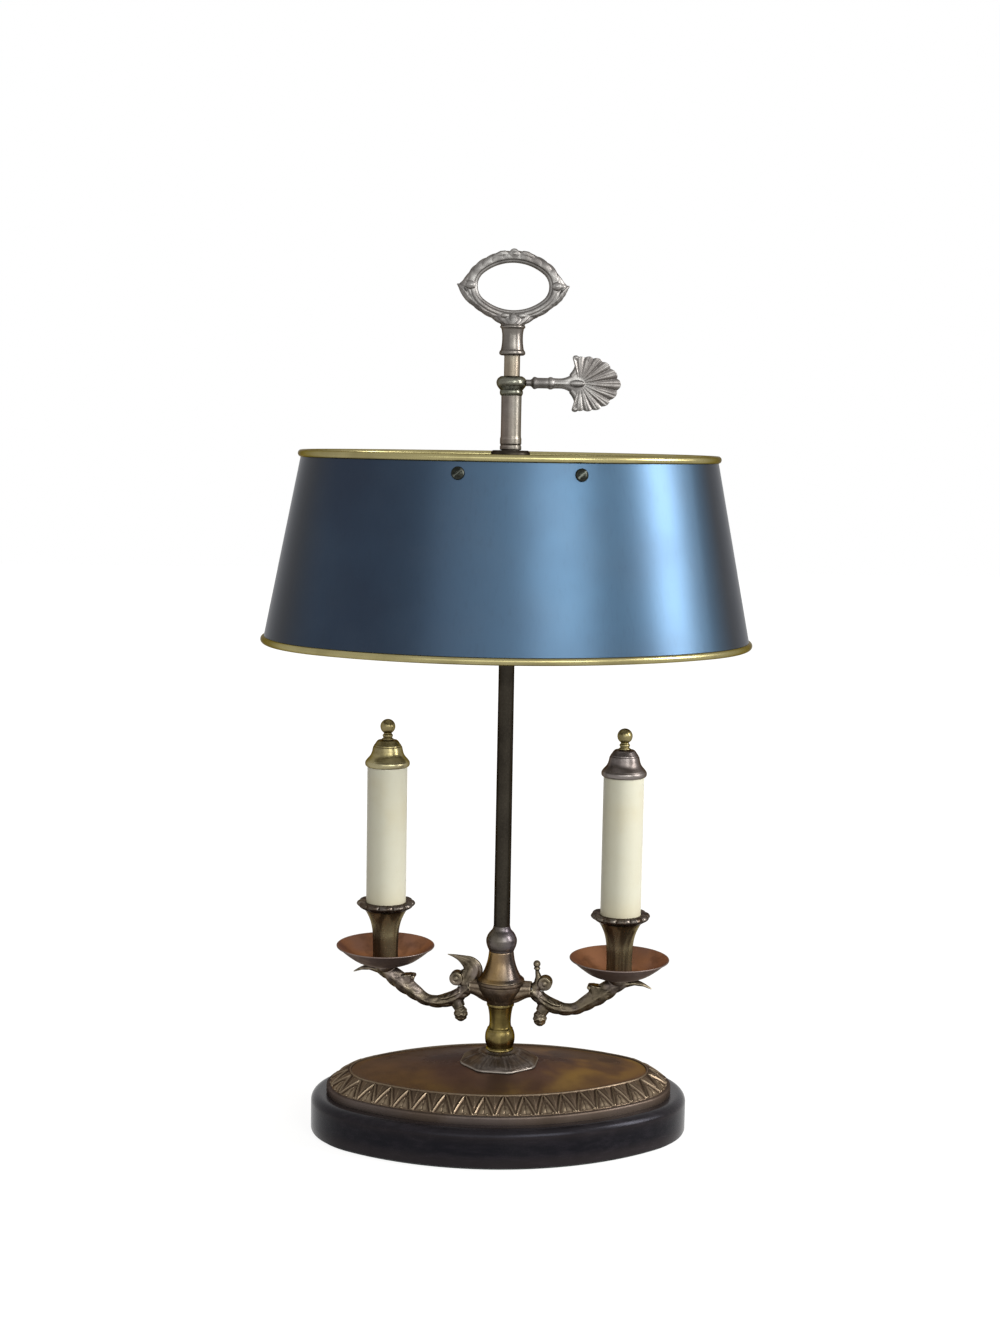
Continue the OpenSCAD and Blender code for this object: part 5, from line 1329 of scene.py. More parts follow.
class LAMP_OT_candles(Operator):
    """Turns pans, cups, sleeves, caps and ball nuts of both candles"""
    bl_idname = "lamp.candles"
    bl_label = "Candles"

    def execute(self, context):
        sizes = context.scene.lamp_sizes
        r, h = reach("right_pan")
        pan = [(2.3, 0, 0.1), (12, 0), (17, 0.7), (24, 3.4), (r - 7, h - 6.4),
            (r - 1.6, h - 1.5, 0.6), (r - 0.5, h - 1.2, 0.3), (r, h - 0.7, 0.3),
            (r - 0.1, h - 0.1, 0.3), (r - 0.9, h, 0.3), (r - 1.5, h - 0.5, 0.3), (r - 7.6, h - 5),
            (23.2, 4.7), (16.6, 2), (12, 1.3), (2.3, 1.3, 0.1)]

        for side in ("left", "right"):
            x, y, z0, _ = spot(side + "_pan")
            line = finer(soften(pan), 0.8)
            rim = next(k for k, q in enumerate(line) if q[1] >= h - 0.05)
            skin = Skin().lathe(line, (x, y, z0), 128,
                mark=[float(i >= rim) for i in range(len(line))])
            finish_piece(skin.piece(side + "_drip_pan"), "lamp", "pan_metal",
                (side + "_pan",), 40.0, (4, 0.15))
        self.cups(sizes)
        r, h = reach("right_candle")
        for side in ("left", "right"):
            turned_piece(side + "_sleeve", side + "_candle", "lamp", "candle_wax",
                [(r - 1.4, 0), (r - 0.3, 0, 0.3), (r, 0.5, 0.4)]
                + [(r, h * k / 6, 0.1) for k in range(1, 6)] + [(r, h - 0.5, 0.4),
                (r - 0.3, h, 0.3), (r - 1.4, h)], 96, None)
        r, h = span("right_cap", 0) / 2, span("right_cap", 2) - 4
        i = span("right_candle", 0) / 2 - 1.6
        cap = [(i - 1.2, 0, 0.1), (i, 0, 0.3), (i, 4, 0.1), (r - 1.2, 4, 0.3), (r - 0.3, 4.8, 0.6),
            (r, 6.4, 0.8), (r - 0.3, 7.9, 0.6), (r - 1, 8.8, 0.4), (r - 1.2, 9.2, 0.2),
            (r - 2.1, 10.2, 0.6), (r - 4.1, 12.4), (r - 5.3, 15), (r - 5.9, 18),
            (r - 6.3, 19.6, 0.2), (r - 6.8, 19.9, 0.2), (r - 7.0, 20.9, 0.3), (r - 7.4, 21.2, 0.2),
            (r - 8.2, h + 1.4), (r - 9.3, h + 3, 0.6), (r - 10.2, h + 3.7, 0.3), (3.6, h + 4, 0.2),
            (2.2, h + 4), (2.2, h + 2), (5.4, h + 1.4), (6.8, 16.5), (9.4, 10.5), (i - 1.2, 6)]
        # the right cap gets a darker, greyer copy of the left cap's brass, a painted reflection
        for side, metal, slot in (("left", "cap_gold", "gold_brass"),
                ("right", "cap_dark", "dark_bronze")):
            turned_piece(side + "_candle_cap", side + "_cap", "lamp", metal, cap)
        b = 2.1
        r = span("right_ball", 0) / 2
        c = 4.6 + r
        ball = [(b, 0), (4.5, 0, 0.2), (4.6, 0.5, 0.4), (4.4, 1.0, 0.3), (3.5, 1.4, 0.3),
            (3.5, 2.1, 0.3), (4.0, 2.7, 0.3), (4.15, 3.4, 0.4), (3.9, 4.1, 0.3), (3.2, 4.6, 0.3),
            (3.0, 5.3, 0.4)]
        ball += [(r * math.sin(a), c - r * math.cos(a), 0.5)
            for a in np.radians(np.arange(38, 180, 9))]
        ball += [(TINY, c + r), (TINY, c + r - 2), (b, c), (b, 3)]
        for side in ("left", "right"):
            turned_piece(side + "_ball_nut", side + "_ball", "lamp", "cap_gold", ball,
                72, (4, 0.15), 3)
        return {"FINISHED"}

    def cups(self, sizes):
        """Funnel-shaped cups; each flange is a ring of lobes with a groove between two of them."""
        r, h = reach("right_cup")
        seat = span("right_candle", 0) / 2 + 0.1
        line = soften([(2.3, 0, 0.1), (11.6, 0, 0.3), (12, 0.8, 0.4), (11.8, 1.7, 0.4),
            (10.6, 2.6, 0.5), (9.9, 4.5), (9.9, 10), (9.95, 16), (10.6, 27), (12.2, 34),
            (14.7, 39.6), (16.8, h - 7.4), (r - 3.6, h - 5.8), (r - 1.5, h - 4.6, 0.6),
            (r - 0.3, h - 3.4, 0.6), (r, h - 2.3, 0.6), (r - 0.9, h - 0.9, 0.5),
            (r - 2.4, h - 0.1, 0.6), (r - 4.2, h, 0.6), (r - 6.2, h - 0.6, 0.4),
            (seat + 0.4, h - 0.8, 0.3), (seat, h - 1.2, 0.2), (seat, h - 3.2, 0.1), (9, h - 3.2),
            (7.6, 34), (2.3, 34, 0.1)])
        fine = finer(line, 0.6)
        for side in ("left", "right"):
            x, y, z0, _ = spot(side + "_cup")
            angle = circle(288)
            rings, marks = [], [float(hh > h - 7) for _, hh in fine]
            for rr, hh in fine:
                out = max(0.0, min(1.0, (rr - seat - 0.3)
                    / (r - seat - 0.3))) if hh > h - 8 else 0.0
                petal = wave(angle, sizes.lobes)
                radius = rr - 1.9 * out * out * (1 - petal ** 0.6)
                mid = np.exp(-((petal - 1) / 0.02) ** 2)
                up = 1 if hh > h - 3 else -0.6
                lift = up * out ** 0.7 * (-1.0 * (1 - petal ** 0.5) - 0.35 * mid)
                level = np.minimum(hh + lift, h)
                rings.append(level_ring(angle, radius, radius, z0 + level, (x, y, 0)))
            finish_piece(Skin().rings(rings, True, marks).piece(side + "_candle_cup"), "lamp",
                "cup_brass", (side + "_cup",), 50.0, (5, 0.25))


# ---------- Shade ----------


class LAMP_OT_shade(Operator):
    """Forms the oval sheet of the shade and its two rolled rims"""
    bl_idname = "lamp.shade"
    bl_label = "Shade"

    def execute(self, context):
        z0, z1 = spot("shade_shell")[2:]
        line = oval_line(span("shade_shell", 0), span("shade_shell", 1), SHADE_END_R, 120, 120)

        rings, marks = [], []
        steps = 24
        for inset, order, mark in ((0, range(steps + 1), 0.0), (SHEET, range(steps, -1, -1), 1.0)):
            for f in [k / steps for k in order]:
                rings.append(oval_ring(line, -SHADE_FLARE * f - inset, z0 + (z1 - z0) * f))
                marks.append(mark)
        piece = Skin().rings(rings, True, marks).piece("shade_sheet")
        finish_piece(piece, "shade", "shade_paint", ("shade_shell",), 50.0)
        radius = context.scene.lamp_sizes.rim / 2 / MM
        for name, node, out in (("upper_rim", "shade_top_rim", -SHADE_FLARE - SHEET / 2),
                ("lower_rim", "shade_bottom_rim", -SHEET / 2)):
            zc = (spot(node)[2] + spot(node)[3]) / 2
            rings = [oval_ring(line, out + radius * math.cos(a), zc + radius * math.sin(a))
                for a in circle(24)]
            finish_piece(Skin().rings(rings, True).piece(name), "shade", "rim_brass",
                (node,), 60.0)
        return {"FINISHED"}


class LAMP_OT_screws(Operator):
    """Sets the four slotted screws on the shade"""
    bl_idname = "lamp.screws"
    bl_label = "Shade screws"

    def execute(self, context):
        z0, z1 = spot("shade_shell")[2:]
        slope = SHADE_FLARE / (z1 - z0)
        z = z1 + 0.6 - 10.3
        off = slope * (z - z0)
        long, wide = span("shade_shell", 0), span("shade_shell", 1)
        side_r = side_radius(long, wide, SHADE_END_R)
        a = math.asin(SCREW_X / (side_r - off))
        y = (side_r - off) * math.cos(a) - (side_r - wide / 2)
        tilt = math.atan(slope)
        skin = Skin()
        skin.lathe(soften([(TINY, -8), (1.7, -8, 0.3), (2, -7.6, 0.3), (2, 0.1, 0.05),
            (4.7, 0.1, 0.2), (4.85, 0.6, 0.3), (4.6, 1.4), (3.7, 2.3), (2.2, 3.0), (TINY, 3.2)],
            0.8), (0, 0, 0), 48, "X")
        head = skin.piece("head")
        cut(head, Skin().rings([np.array([(x, -6, -0.55), (x, 6, -0.55), (x, 6, 0.55),
            (x, -6, 0.55)]) for x in (1.9, 5)]))
        points, turns = [], []
        for sx in (1, -1):
            for sy in (1, -1):
                points.append(Vector((sx * SCREW_X, sy * y, z)) * MM)
                way = math.atan2(sy * math.cos(a), sx * math.sin(a))
                turns.append((0.0, -tilt, way))
        piece = points_piece("screws", [tuple(p) for p in points])
        turn = piece.data.attributes.new("turn", "FLOAT_VECTOR", "POINT")
        turn.data.foreach_set("vector", np.array(turns, np.float32).ravel())
        tree, g, out = geometry_tree("screw_set",
            [("Screw", OBJECT, None), ("Roll", FLOAT, 0.6), ("Material", MATERIAL, None)])
        where = add(tree, "GeometryNodeInputNamedAttribute", {"Name": "turn"},
            data_type="FLOAT_VECTOR")
        roll = node_out(tree, "ShaderNodeCombineXYZ", {"X": g["Roll"]})
        rolled = node_out(tree, "GeometryNodeTransform",
            {"Geometry": shape_of(tree, g["Screw"]), "Rotation": roll})
        screws = real(tree, g["Geometry"], rolled, where.outputs["Attribute"])
        grow(piece, tree, out, screws, g["Material"],
            {"Screw": head, "Roll": 0.7, "Material": finish("screw_dark")})
        bpy.data.objects.remove(head)
        finish_piece(piece, "shade", "screw_dark", ("shade_screws",), 40.0, (3, 0.1))
        return {"FINISHED"}


# ---------- Rod, clamp and handle ----------


class LAMP_OT_rod(Operator):
    """Turns the rod, the sliding sleeve, the clamp collar and the handle's ferrule"""
    bl_idname = "lamp.rod"
    bl_label = "Rod and clamp"

    def execute(self, context):
        r, h = reach("upper_rod")
        turned_piece("slide_rod", "upper_rod", "lamp", "rod_metal",
            [(TINY, 0), (4.6, 0, 0.2), (4.8, 0.4, 0.2), (4.8, 8.5, 0.1), (r - 0.3, 8.5, 0.2),
            (r, 8.9, 0.2)] + [(r, 8.9 + (h - 9.4) * k / 8, 0.1) for k in range(1, 8)]
            + [(r, h - 0.4, 0.2), (r - 0.4, h, 0.2), (TINY, h)], 72, None)
        s = span("clamp_collar", 0) / 2
        b = span("upper_rod", 0) / 2 + 0.05
        n = 7.8
        h = span("slide_sleeve", 2)
        tail = h - 41
        turned_piece("sleeve", "slide_sleeve", "clamp", "sleeve_metal",
            [(b, 0, 0.1), (6.8, 0, 0.2), (6.85, 0.3, 0.1), (6.85, tail, 0.1), (n + 0.1, tail, 0.2),
            (n + 0.4, tail + 0.7, 0.3), (n + 0.4, tail + 2.9, 0.3), (n - 0.1, tail + 3.5, 0.2),
            (n - 0.1, tail + 4.0, 0.2), (n + 0.4, tail + 4.7, 0.3), (n + 0.4, tail + 8.8, 0.4),
            (n, tail + 9.8, 0.6), (n - 0.1, tail + 20), (n - 0.05, h - 1.2, 0.2), (n, h, 0.2),
            (b, h, 0.1)], 96, (4, 0.12))
        h = span("clamp_collar", 2)
        turned_piece("collar", "clamp_collar", "clamp", "collar_metal",
            [(b, 0, 0.1), (n + 0.2, 0, 0.2), (n + 0.8, 0.9, 0.5), (n + 1.1, 2.4, 0.8),
            (n + 0.9, 3.6, 0.5), (n + 0.6, 4.2, 0.2), (n + 1.2, 4.7, 0.2), (s - 1.4, 6.2),
            (s - 0.4, 7.8), (s, 9.9), (s - 0.4, 11.8), (s - 1.5, 13.4), (s - 3, h - 0.3, 0.5),
            (s - 3.8, h, 0.3), (b, h, 0.1)], 96, (4, 0.15))
        r, h = reach("handle_ferrule")
        turned_piece("ferrule", "handle_ferrule", "lamp", "ferrule_metal",
            [(b, 0, 0.1), (r - 1.5, 0, 0.3), (r - 0.2, 0.8, 0.5), (r, 2, 0.6), (r - 0.3, 3.2, 0.5),
            (r - 1.1, 3.9, 0.3), (r - 1.5, 5.6), (r - 2.1, 10), (r - 2.1, h - 3),
            (r - 1.5, h + 0.4, 1), (r - 1.2, h + 1.1, 0.2), (r - 0.5, h + 1.5, 0.2),
            (r - 0.3, h + 2.3, 0.3), (r - 0.6, h + 3.1, 0.2), (r - 1.2, h + 3.4, 0.2),
            (r - 0.8, h + 3.9, 0.3), (r - 1.1, h + 4.4, 0.2), (TINY, h + 4.4), (TINY, 10),
            (b, 9.4, 0.1)], 96, (4, 0.15))
        return {"FINISHED"}


class LAMP_OT_key(Operator):
    """Casts the clamp key with its fan shell"""
    bl_idname = "lamp.key"
    bl_label = "Shell key"

    def execute(self, context):
        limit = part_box("shell_key")[1].x
        zc, hinge = 586.3, 51.8

        neck = span("clamp_collar", 0) / 2
        fan = limit / MM - hinge
        skin = Skin()
        line = soften([(TINY, 6.4), (2.5, 6.4, 0.2), (2.5, neck + 2.8, 0.2), (3.2, neck + 3.8, 0.4),
            (4.5, neck + 4.8, 0.4), (4.75, neck + 6, 0.5), (4.3, neck + 7.2, 0.3),
            (4.0, neck + 8.0, 0.4), (4.0, 27.6, 0.4), (4.7, 28.6, 0.4), (4.75, 30.2, 0.4),
            (4.2, 31.4, 0.4), (3.4, 32.6), (TINY, 34)], 0.5)
        skin.lathe(line, (0, 0, zc), 64, "X")
        skin.sweep(scroll([(30, 0, 4.2, 4.0), (34, 0, 3.9, 3.7), (39, 0, 4.1, 3.4),
            (43.5, 0, 5.8, 2.9), (47.5, 0, 9, 2.5), (51.5, 0, 13.0, 2.1), (55, 0, 12.0, 1.7)], 6,
            zc), 40, pattern=fluted(8, 0.1))
        # the fan
        steps = np.radians(np.arange(-106.5, 107, 0.75))
        shares = [0.05, 0.15, 0.3, 0.45, 0.6, 0.72, 0.82, 0.9, 0.96, 1.0]
        rings = []
        for a in steps:
            up = abs(math.cos(a * 10)) ** 0.6
            point = math.exp(-math.degrees(a) ** 2 / 260)
            r = fan * (0.65 + 0.27 * math.cos(a * 0.92) ** 2 + 0.08 * point) * (1 - 0.07 * (1 - up))
            part = math.degrees(a) % 18
            up -= 0.3 * math.exp(-((part if part < 9 else part - 18) / 1.6) ** 2)
            ring = []
            for q in shares:
                body = 1.5 + 1.0 * math.sin(math.pi * min(1, q * 0.9))
                ring.append((hinge + q * r * math.cos(a),
                    -(body * 0.62 + (0.25 + 1.5 * q ** 0.8) * up * (1 - 0.35 * q ** 8)),
                    zc + q * r * math.sin(a)))
            for q in reversed(shares):
                body = 0.9 + 0.5 * math.sin(math.pi * min(1, q))
                ring.append((hinge + q * r * math.cos(a), body * 0.9 + 0.4 * q * up,
                    zc + q * r * math.sin(a)))
            rings.append(np.array(ring))
        skin.rings(rings)
        # webs between the stem's flare and the corners
        for s in (1, -1):
            skin.sweep(scroll([(45.5, 5.2, 2.4, 2.2), (48.2, 8.4, 2.6, 2.0), (49.8, 12.2, 2.4, 1.8),
                (49.6, 16, 2.0, 1.6), (48.6, 18.8, 1.4, 1.4)], 6, zc, z_side=s), 24)
        # rolled corners
        for s in (1, -1):
            skin.ball((48.4, -0.6, zc + s * 19.4), (2.5, 1.9, 2.0), 20, 10)
        # almond at the hinge
        skin.ball((49.5, -2.4, zc), (6.0, 1.5, 2.4), 28, 14)
        piece = fused(skin.piece("key"), 0.00034, 1, 0.4)

        for v in piece.data.vertices:
            v.co.x = min(v.co.x, limit)
        finish_piece(piece, "key", "pewter", ("shell_key",), 75.0, (6, 0.35))
        return {"FINISHED"}


class LAMP_OT_handle(Operator):
    """Casts the oval ring handle with its leaves, side points and crest"""
    bl_idname = "lamp.handle"
    bl_label = "Ring handle"

    def execute(self, context):
        relief = context.scene.lamp_sizes.handle_relief / MM
        low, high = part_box("ring_handle")
        z0 = low.z / MM
        mid = z0 + 5.3 + 27
        t = 4.8
        centres, radii, ways = oval_line(73 - 2 * t, 54 - 2 * t, 17, 200, 200)

        flat = centres + radii[:, None] * ways
        around = np.arctan2(flat[:, 1] / 22, flat[:, 0] / 32)
        step = np.linalg.norm(np.roll(flat, -1, 0) - flat, axis=1)
        along = np.concatenate([[0], np.cumsum(step)[:-1]]) / step.sum()
        rings = []
        a = circle(48)
        outward = np.clip(0.3 + np.cos(a), 0, 1) ** 0.6
        for k in range(len(radii)):
            high_part = min(1, max(0, (math.sin(around[k]) - 0.02) / 0.12))
            slant = 2.4 * np.abs(np.sin(a)) * (1 if math.cos(around[k]) > 0 else -1)
            scales = 1 - np.abs(np.sin(along[k] * math.pi * 20 + slant)) ** 0.6
            spine = np.exp(-((np.abs(np.sin(a)) - 0.8) / 0.16) ** 2) * (np.cos(a) > -0.5)
            leaves = -1.25 * scales * outward + 0.4 * spine - 0.1
            band = -0.9 * np.exp(-((np.cos(a) - 0.25)
                / 0.13) ** 2) - 0.7 * scales * (np.cos(a) > 0.4)
            bevel = -1.1 * np.exp(-((np.cos(a) + 0.62) / 0.12) ** 2)
            lift = relief * (high_part * leaves + (1 - high_part) * band + bevel)
            r = np.minimum(t - 0.1 + lift, t)
            way = np.array((ways[k][0], 0, ways[k][1]))
            rings.append(np.array((flat[k][0], 0, flat[k][1] + mid)) + (r * np.cos(a))[:, None]
                * way + (r * np.sin(a))[:, None] * np.array((0, 1, 0)))
        skin = Skin().rings(rings, loop=True)
        # palmette at the foot, flat in front and behind
        sections = [(2, 8.6, 8.6), (4.2, 9.3, 8.8), (5, 11, 8.4), (6.2, 13.2, 7.8), (7.6, 15, 7.2),
            (9, 16.6, 6.5), (10.4, 17.8, 5.7), (12, 18.6, 4.8)]
        a = circle(180)
        rings = []
        lobe = 1 - np.abs(np.cos(a * 7)) ** 0.5
        for z, rx, ry in smooth_path(sections, 6):
            groove = 1 - 0.1 * lobe * min(1, (z - 2) / 3)
            rings.append(level_ring(a, rx * groove, ry * groove, z0 + z))
        skin.rings(rings)
        for y in (-1, 1):
            skin.sweep([(0, y * 7.4, z0 + 5, 1.0, 1.8), (0, y * 7.0, z0 + 7.6, 1.3, 3.0),
                (0, y * 6.0, z0 + 10.2, 1.4, 2.6), (0, y * 5, z0 + 13.0, 0.6, 0.5)], 20,
                side=(1, 0, 0))
            for s in (1, -1):
                skin.ball((s * 6.4, y * 5.9, z0 + 10.4), (3.0, 1.2, 1.9), 24, 12)
        # leaves outside the ring, from its lower side to the side points
        for s in (1, -1):
            skin.sweep(scroll([(-9.4, -17.4, 1.6, t - 1.8), (-4.2, -13.6, 2.6, t - 1.2),
                (1, -9.4, 3.1, t - 0.9), (5, -4.2, 3.1, t - 1.4), (8.4, -0.4, 1.7, 2.2),
                (10.8, 1.2, 0.35, 0.6)], 10, mid, 31.9, s), 40, pattern=leafy(7, 0.16, 0.1))
            skin.sweep(scroll([(30.5, 10, 2.4, 3.6), (33.8, 5.8, 2.7, 3.6), (36.6, 2.8, 2.2, 2.9),
                (40.6, 1.2, 0.5, 0.8)], 8, mid, 0, s), 32, pattern=fluted(5, 0.12))
            skin.ball((s * 35.6, 0, mid + 0.6), (4.6, 3.4, 3.0), 32, 16)
            for y in (-1, 1):
                skin.ball((s * 32.5, y * 4.6, mid + 0.4), (3.7, 1.5, 2.9), 32, 16)
                skin.ball((s * 32.5, y * 5.4, mid + 0.4), (2.0, 1.0, 1.5), 24, 12)
        # crest: a rosette between two small scrolls and their leaves
        top = high.z / MM
        for y in (-1, 1):
            skin.ball((0, y * 3.9, top - 4.0), (4.3, 1.5, 2.9), 36, 18)
            skin.ball((0, y * 4.8, top - 4.0), (2.0, 1.1, 1.4), 24, 12)
            for s in (1, -1):
                skin.sweep([(s * x, y * yy, top + z, hh, tt) for x, yy, z, hh,
                    tt in ((4.4, 2.6, -4.4, 1.6, 1.6), (7, 3.1, -3.7, 2.1, 1.9),
                    (10, 3.1, -4.2, 2.2, 1.9), (13.4, 3.1, -5.6, 1.8, 1.7),
                    (17.6, 2.9, -7.6, 0.5, 0.7))], 24, pattern=fluted(6, 0.16))
        skin.lathe(soften([(TINY, -4.9), (2.9, -4.9, 0.6), (3.7, -3.8, 0.6), (3.7, 3.8, 0.6),
            (2.9, 4.9, 0.6), (TINY, 4.9)]), (0, 0, top - 3.75), 48, "Y")
        piece = fused(skin.piece("handle"), 0.00036, 1, 0.4)
        for v in piece.data.vertices:
            v.co = [max(least, min(most, place)) for least, place, most in zip(low, v.co, high)]
        finish_piece(piece, "lamp", "pewter", ("ring_handle",), 75.0, (6, 0.35))
        return {"FINISHED"}


# ---------- Lights under the shade ----------


class LAMP_OT_lights(Operator):
    """Makes the cluster, sockets, bulbs and knobs under the shade"""
    bl_idname = "lamp.lights"
    bl_label = "Light cluster"

    def execute(self, context):
        sizes = context.scene.lamp_sizes
        r, h = reach("cluster_body")
        turned_piece("cluster", "cluster_body", "lamp", "baluster_brass",
            [(4.9, 0), (r - 4, 0, 0.5), (r - 1, 1.4, 0.8), (r, 4, 0.8), (r, 9.5, 0.2),
            (r - 0.5, 10, 0.2), (r - 0.5, 10.8, 0.2), (r, 11.3, 0.2), (r, h - 4, 0.8),
            (r - 1, h - 1.4, 0.8), (r - 4, h, 0.5), (4.9, h)], 96)
        zc = middle("right_bulb")
        r = span("right_socket_shell", 1) / 2
        x0, x1 = (corner.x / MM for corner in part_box("right_socket_shell"))

        c0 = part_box("right_socket_cap")[0].x / MM
        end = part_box("right_bulb")[1].x / MM
        br = span("right_bulb", 1) / 2
        bc = end - br
        shell = soften([(r - 0.8, x0), (r, x0, 0.2), (r, x0 + 1.6, 0.3), (r - 0.3, x0 + 2.2, 0.3),
            (r - 0.3, x0 + 3.4, 0.3), (r, x0 + 4, 0.3), (r - 0.3, x0 + 4.8, 0.3),
            (r - 0.3, x1 - 6, 0.3), (r, x1 - 5.4, 0.3), (r - 0.3, x1 - 4.8, 0.3),
            (r - 0.3, x1 - 3, 0.3), (r, x1 - 2, 0.4), (r - 0.4, x1, 0.3), (r - 1.1, x1, 0.3),
            (r - 1.1, x1 - 3), (r - 1.1, x0 + 4)], 0.4)
        cap = soften([(4.85, c0), (8, c0, 0.4), (11, c0 + 2), (r - 1.4, c0 + 5), (r, c0 + 8),
            (r, x0, 0.2), (r - 1, x0, 0.2), (r - 1, c0 + 8), (r - 2.4, c0 + 5.6), (10, c0 + 3),
            (4.85, c0 + 3)], 2.5)
        bulb = [(11, x0 + 14), (12.1, x0 + 14), (12.1, x1 - 1), (13.2, x1 + 4),
            (br * 0.66, bc - br * 0.86), (br * 0.88, bc - br * 0.5)]
        bulb += [(br * math.sin(a), bc + br * math.cos(a))
            for a in np.radians(np.arange(105, -1, -7.5))]
        bulb = [(max(q, TINY), w) for q, w in bulb]
        inner = [(max(q - 1, TINY), w - (1 if q < 2 else 0)) for q, w in reversed(bulb)]
        core = soften([(TINY, x0 - 3), (9.4, x0 - 3, 0.5), (r - 1.3, x0 + 0.5, 0.5),
            (r - 1.3, x1 - 4, 0.4), (13.7, x1 - 4, 0.4), (13.7, x0 + 8), (TINY, x0 + 8)], 0.4)
        for side, sign in (("right", 1), ("left", -1)):
            for name, line, slot, material, node, count in (("shell", shell, "gold_brass",
                    "socket_brass", "_socket_shell", 96),
                    ("end_cap", cap, "gold_brass", "socket_brass", "_socket_cap", 96),
                    ("porcelain", core, "porcelain", "porcelain", "_socket_core", 72),
                    ("lamp_bulb", bulb + inner, "bulb_glass", "bulb_glass", "_bulb", 96)):
                flipped = [(q, sign * w) for q, w in line]
                skin = Skin().lathe(flipped, (0, 0, zc), count, "X")
                finish_piece(skin.piece(side + "_" + name), "lamp", material, (side + node,),
                    45.0)
            kx, ky, kz, top = spot(side + "_switch_knob")
            k = span(side + "_switch_knob", 0) / 2
            line = soften([(TINY, 0), (k - 1.6, 0, 0.5), (k - 0.7, 1.2, 0.5), (k - 0.5, 4),
                (k - 0.5, 9, 0.4), (k - 2.4, 12, 0.8), (2, 12, 0.1), (2, top - kz),
                (TINY, top - kz)], 0.8)
            finish_piece(Skin().lathe(line, (kx, ky, kz), 72).piece(side + "_knob"), side + "_knob",
                "black_plastic", (side + "_switch_knob",), 40.0)
            rib = Skin().sweep([(0, 0, 1.2, 0.3, 0.3), (0, 0, 1.8, 0.55, 0.5),
                (0, 0, 8.6, 0.55, 0.5), (0, 0, 9.4, 0.3, 0.3)], 8)
            ribs = ribs_round(side + "_knob_ribs", rib.piece("rib"), (kx * MM, ky * MM, kz * MM),
                sizes.ribs, (k - 0.55) * MM, "black_plastic")
            finish_piece(ribs, side + "_knob", "black_plastic", (), 60.0)
        return {"FINISHED"}


class LAMP_OT_fittings(Operator):
    """Gives the CAD nodes that stay their finishes"""
    bl_idname = "lamp.fittings"
    bl_label = "Fittings"

    def execute(self, context):
        for node, material in (("felt_pad", "felt"), ("base_nut", "nut_brass"),
                ("base_washer", "steel"), ("arm_studs", "steel"), ("centre_pipe", "steel"),
                ("inner_wire", "lead_sheath"), ("cluster_nipples", "steel"),
                ("left_tie_rod", "steel"), ("right_tie_rod", "steel"), ("left_bulb_base", "steel"),
                ("right_bulb_base", "steel"), ("spider_nut", "nut_brass"),
                ("shade_spider", "spider_bronze"), ("shade_nuts", "nut_brass")):
            dress(node, material)
        return {"FINISHED"}


# ---------- Studio ----------


def sees_background(tree):
    """1 for rays that should see the white background: camera, glossy and transmission rays."""
    path = add(tree, "ShaderNodeLightPath").outputs
    return calc(tree, "MAXIMUM", path["Is Camera Ray"],
        calc(tree, "MAXIMUM", path["Is Glossy Ray"], path["Is Transmission Ray"]))


def area(name, place, aim, wide, high, power, tint):
    """A rectangular light that looks at a point."""

    data = bpy.data.lights.new(name, "AREA")
    data.shape = "RECTANGLE"
    data.size, data.size_y = wide, high
    data.energy = power
    data.color = tint
    light = put(name, data)

    light.location = place
    light.rotation_mode = "QUATERNION"
    light.rotation_quaternion = (Vector(aim) - Vector(place)).to_track_quat("-Z", "Y")


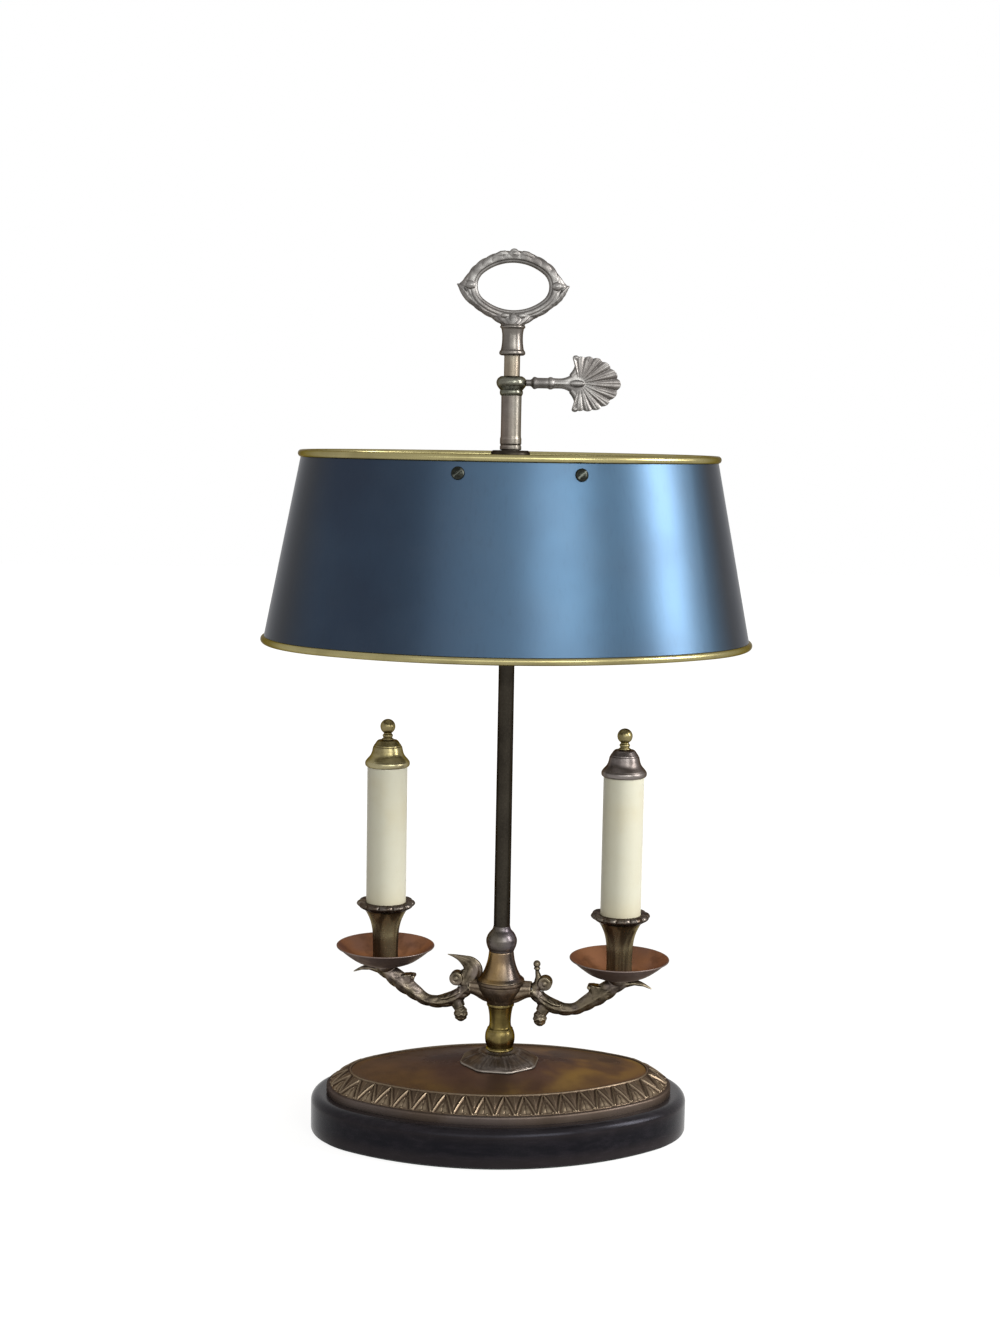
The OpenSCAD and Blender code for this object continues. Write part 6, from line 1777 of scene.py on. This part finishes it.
class LAMP_OT_studio(Operator):
    """Sets the floor, the lights, the white surroundings and the camera"""
    bl_idname = "lamp.studio"
    bl_label = "Studio"

    def execute(self, context):
        scene = context.scene
        scene.view_settings.view_transform = "Standard"
        world = bpy.data.worlds.new("surround")
        scene.world = world
        world.use_nodes = True
        tree = world.node_tree
        tree.nodes.clear()
        strength = raised(tree, 0.56, sees_background(tree), 0.44)
        warm = mixed(tree, sees_background(tree), (1.0, 0.96, 0.9, 1), (1, 1, 1, 1))
        back = add(tree, "ShaderNodeBackground", {"Color": warm, "Strength": strength})
        add(tree, "ShaderNodeOutputWorld", {0: back.outputs[0]})
        n, half = 24, 6.0
        mesh = bpy.data.meshes.new("floor")
        grid = [(-half + 2 * half * i / n, -half + 2 * half * j / n, -0.0004) for j in range(n + 1)
            for i in range(n + 1)]
        corners = [j * (n + 1) + i for j in range(n) for i in range(n)]
        mesh.from_pydata(grid, [], [(k, k + 1, k + n + 2, k + n + 1) for k in corners])
        floor = put("floor", mesh)
        material, tree, shader, place = fresh("pale_floor")
        tint = mixed(tree, noise(tree, place, 3.0, 2.0), tone(108, 107, 105), tone(114, 113, 111))
        feed(tree, shader, {"Base Color": tint, "Roughness": 0.9, "Specular IOR Level": 0.0})
        glow = times(tree, sees_background(tree),
            ranged(tree, far(tree, place), 0.3, 1.6, 0.9, 1.0))
        glow = add(tree, "ShaderNodeEmission", {"Color": (1, 1, 1, 1), "Strength": glow})
        both = add(tree, "ShaderNodeAddShader", {0: shader.outputs[0], 1: glow.outputs[0]})
        end = [node for node in tree.nodes if node.type == "OUTPUT_MATERIAL"][0]
        feed(tree, end, {"Surface": both.outputs[0]})
        mesh.materials.append(material)
        area("window_front", (0.80, -2.05, 1.2), (0.0, 0.0, 0.46), 0.95, 1.0, 23.0,
            (0.96, 1.0, 1.0))
        area("strip_side", (1.67, -0.66, 1.12), (0.0, 0.0, 0.46), 0.4, 1.1, 34.0, (1.0, 1.0, 1.0))
        area("fill_left", (-0.5, -2.35, 1.1), (0.0, 0.0, 0.4), 1.7, 1.2, 11.0, (0.96, 1.0, 1.0))
        # camera: its pan, pitch and roll are measured in a frame turned by `around` from the lamp's
        pan, pitch, roll, around = -0.003431, 0.12221, 0.017773, -0.06565
        ahead = Vector((math.sin(pan) * math.cos(pitch), math.cos(pan) * math.cos(pitch),
            -math.sin(pitch)))
        right = Vector((math.cos(pan), -math.sin(pan), 0))
        up = Vector((math.sin(pan) * math.sin(pitch), math.cos(pan) * math.sin(pitch),
            math.cos(pitch)))
        rolled = math.cos(roll) * right + math.sin(roll) * up
        up = -math.sin(roll) * right + math.cos(roll) * up
        spin = Matrix.Rotation(around, 3, "Z")
        data = bpy.data.cameras.new("camera")
        data.sensor_width = 36.0
        data.sensor_fit = "AUTO"
        data.lens = 52.42
        data.clip_start, data.clip_end = 0.05, 60.0
        camera = put("camera", data)
        turn = Matrix((spin @ rolled, spin @ up, -(spin @ ahead))).transposed()
        stand = Vector((0.0, -1.4852, 0.5526))
        camera.matrix_world = Matrix.Translation(spin @ stand) @ turn.to_4x4()
        scene.camera = camera
        return {"FINISHED"}


# ---------- Panel and registration ----------

STEPS = (LAMP_OT_studio, LAMP_OT_plinth, LAMP_OT_dish, LAMP_OT_foot, LAMP_OT_column, LAMP_OT_hub,
    LAMP_OT_arms, LAMP_OT_candles, LAMP_OT_lights, LAMP_OT_rod, LAMP_OT_key, LAMP_OT_handle,
    LAMP_OT_shade, LAMP_OT_screws, LAMP_OT_fittings)


class LAMP_PT_sidebar(Panel):
    """Lists the lamp's pieces, sizes and colours"""
    bl_idname = "LAMP_PT_sidebar"
    bl_label = "Bouillotte Lamp"
    bl_space_type = "VIEW_3D"
    bl_region_type = "UI"
    bl_category = "Lamp"

    def draw(self, context):
        for step in STEPS:
            self.layout.operator(step.bl_idname)
        for holder in (context.scene.lamp_sizes, context.scene.lamp_colours):
            box = self.layout.box()
            for key in holder.__annotations__:
                box.prop(holder, key)


CLASSES = (LampSizes, LampColours) + STEPS + (LAMP_PT_sidebar,)


def register():
    for kind in CLASSES:
        bpy.utils.register_class(kind)
    bpy.types.Scene.lamp_sizes = PointerProperty(type=LampSizes)
    bpy.types.Scene.lamp_colours = PointerProperty(type=LampColours)


def unregister():
    del bpy.types.Scene.lamp_colours
    del bpy.types.Scene.lamp_sizes
    for kind in reversed(CLASSES):
        bpy.utils.unregister_class(kind)


def main():
    register()
    for step in STEPS:
        family, call = step.bl_idname.split(".")
        getattr(getattr(bpy.ops, family), call)()
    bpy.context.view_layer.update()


if __name__ == "__main__":
    main()
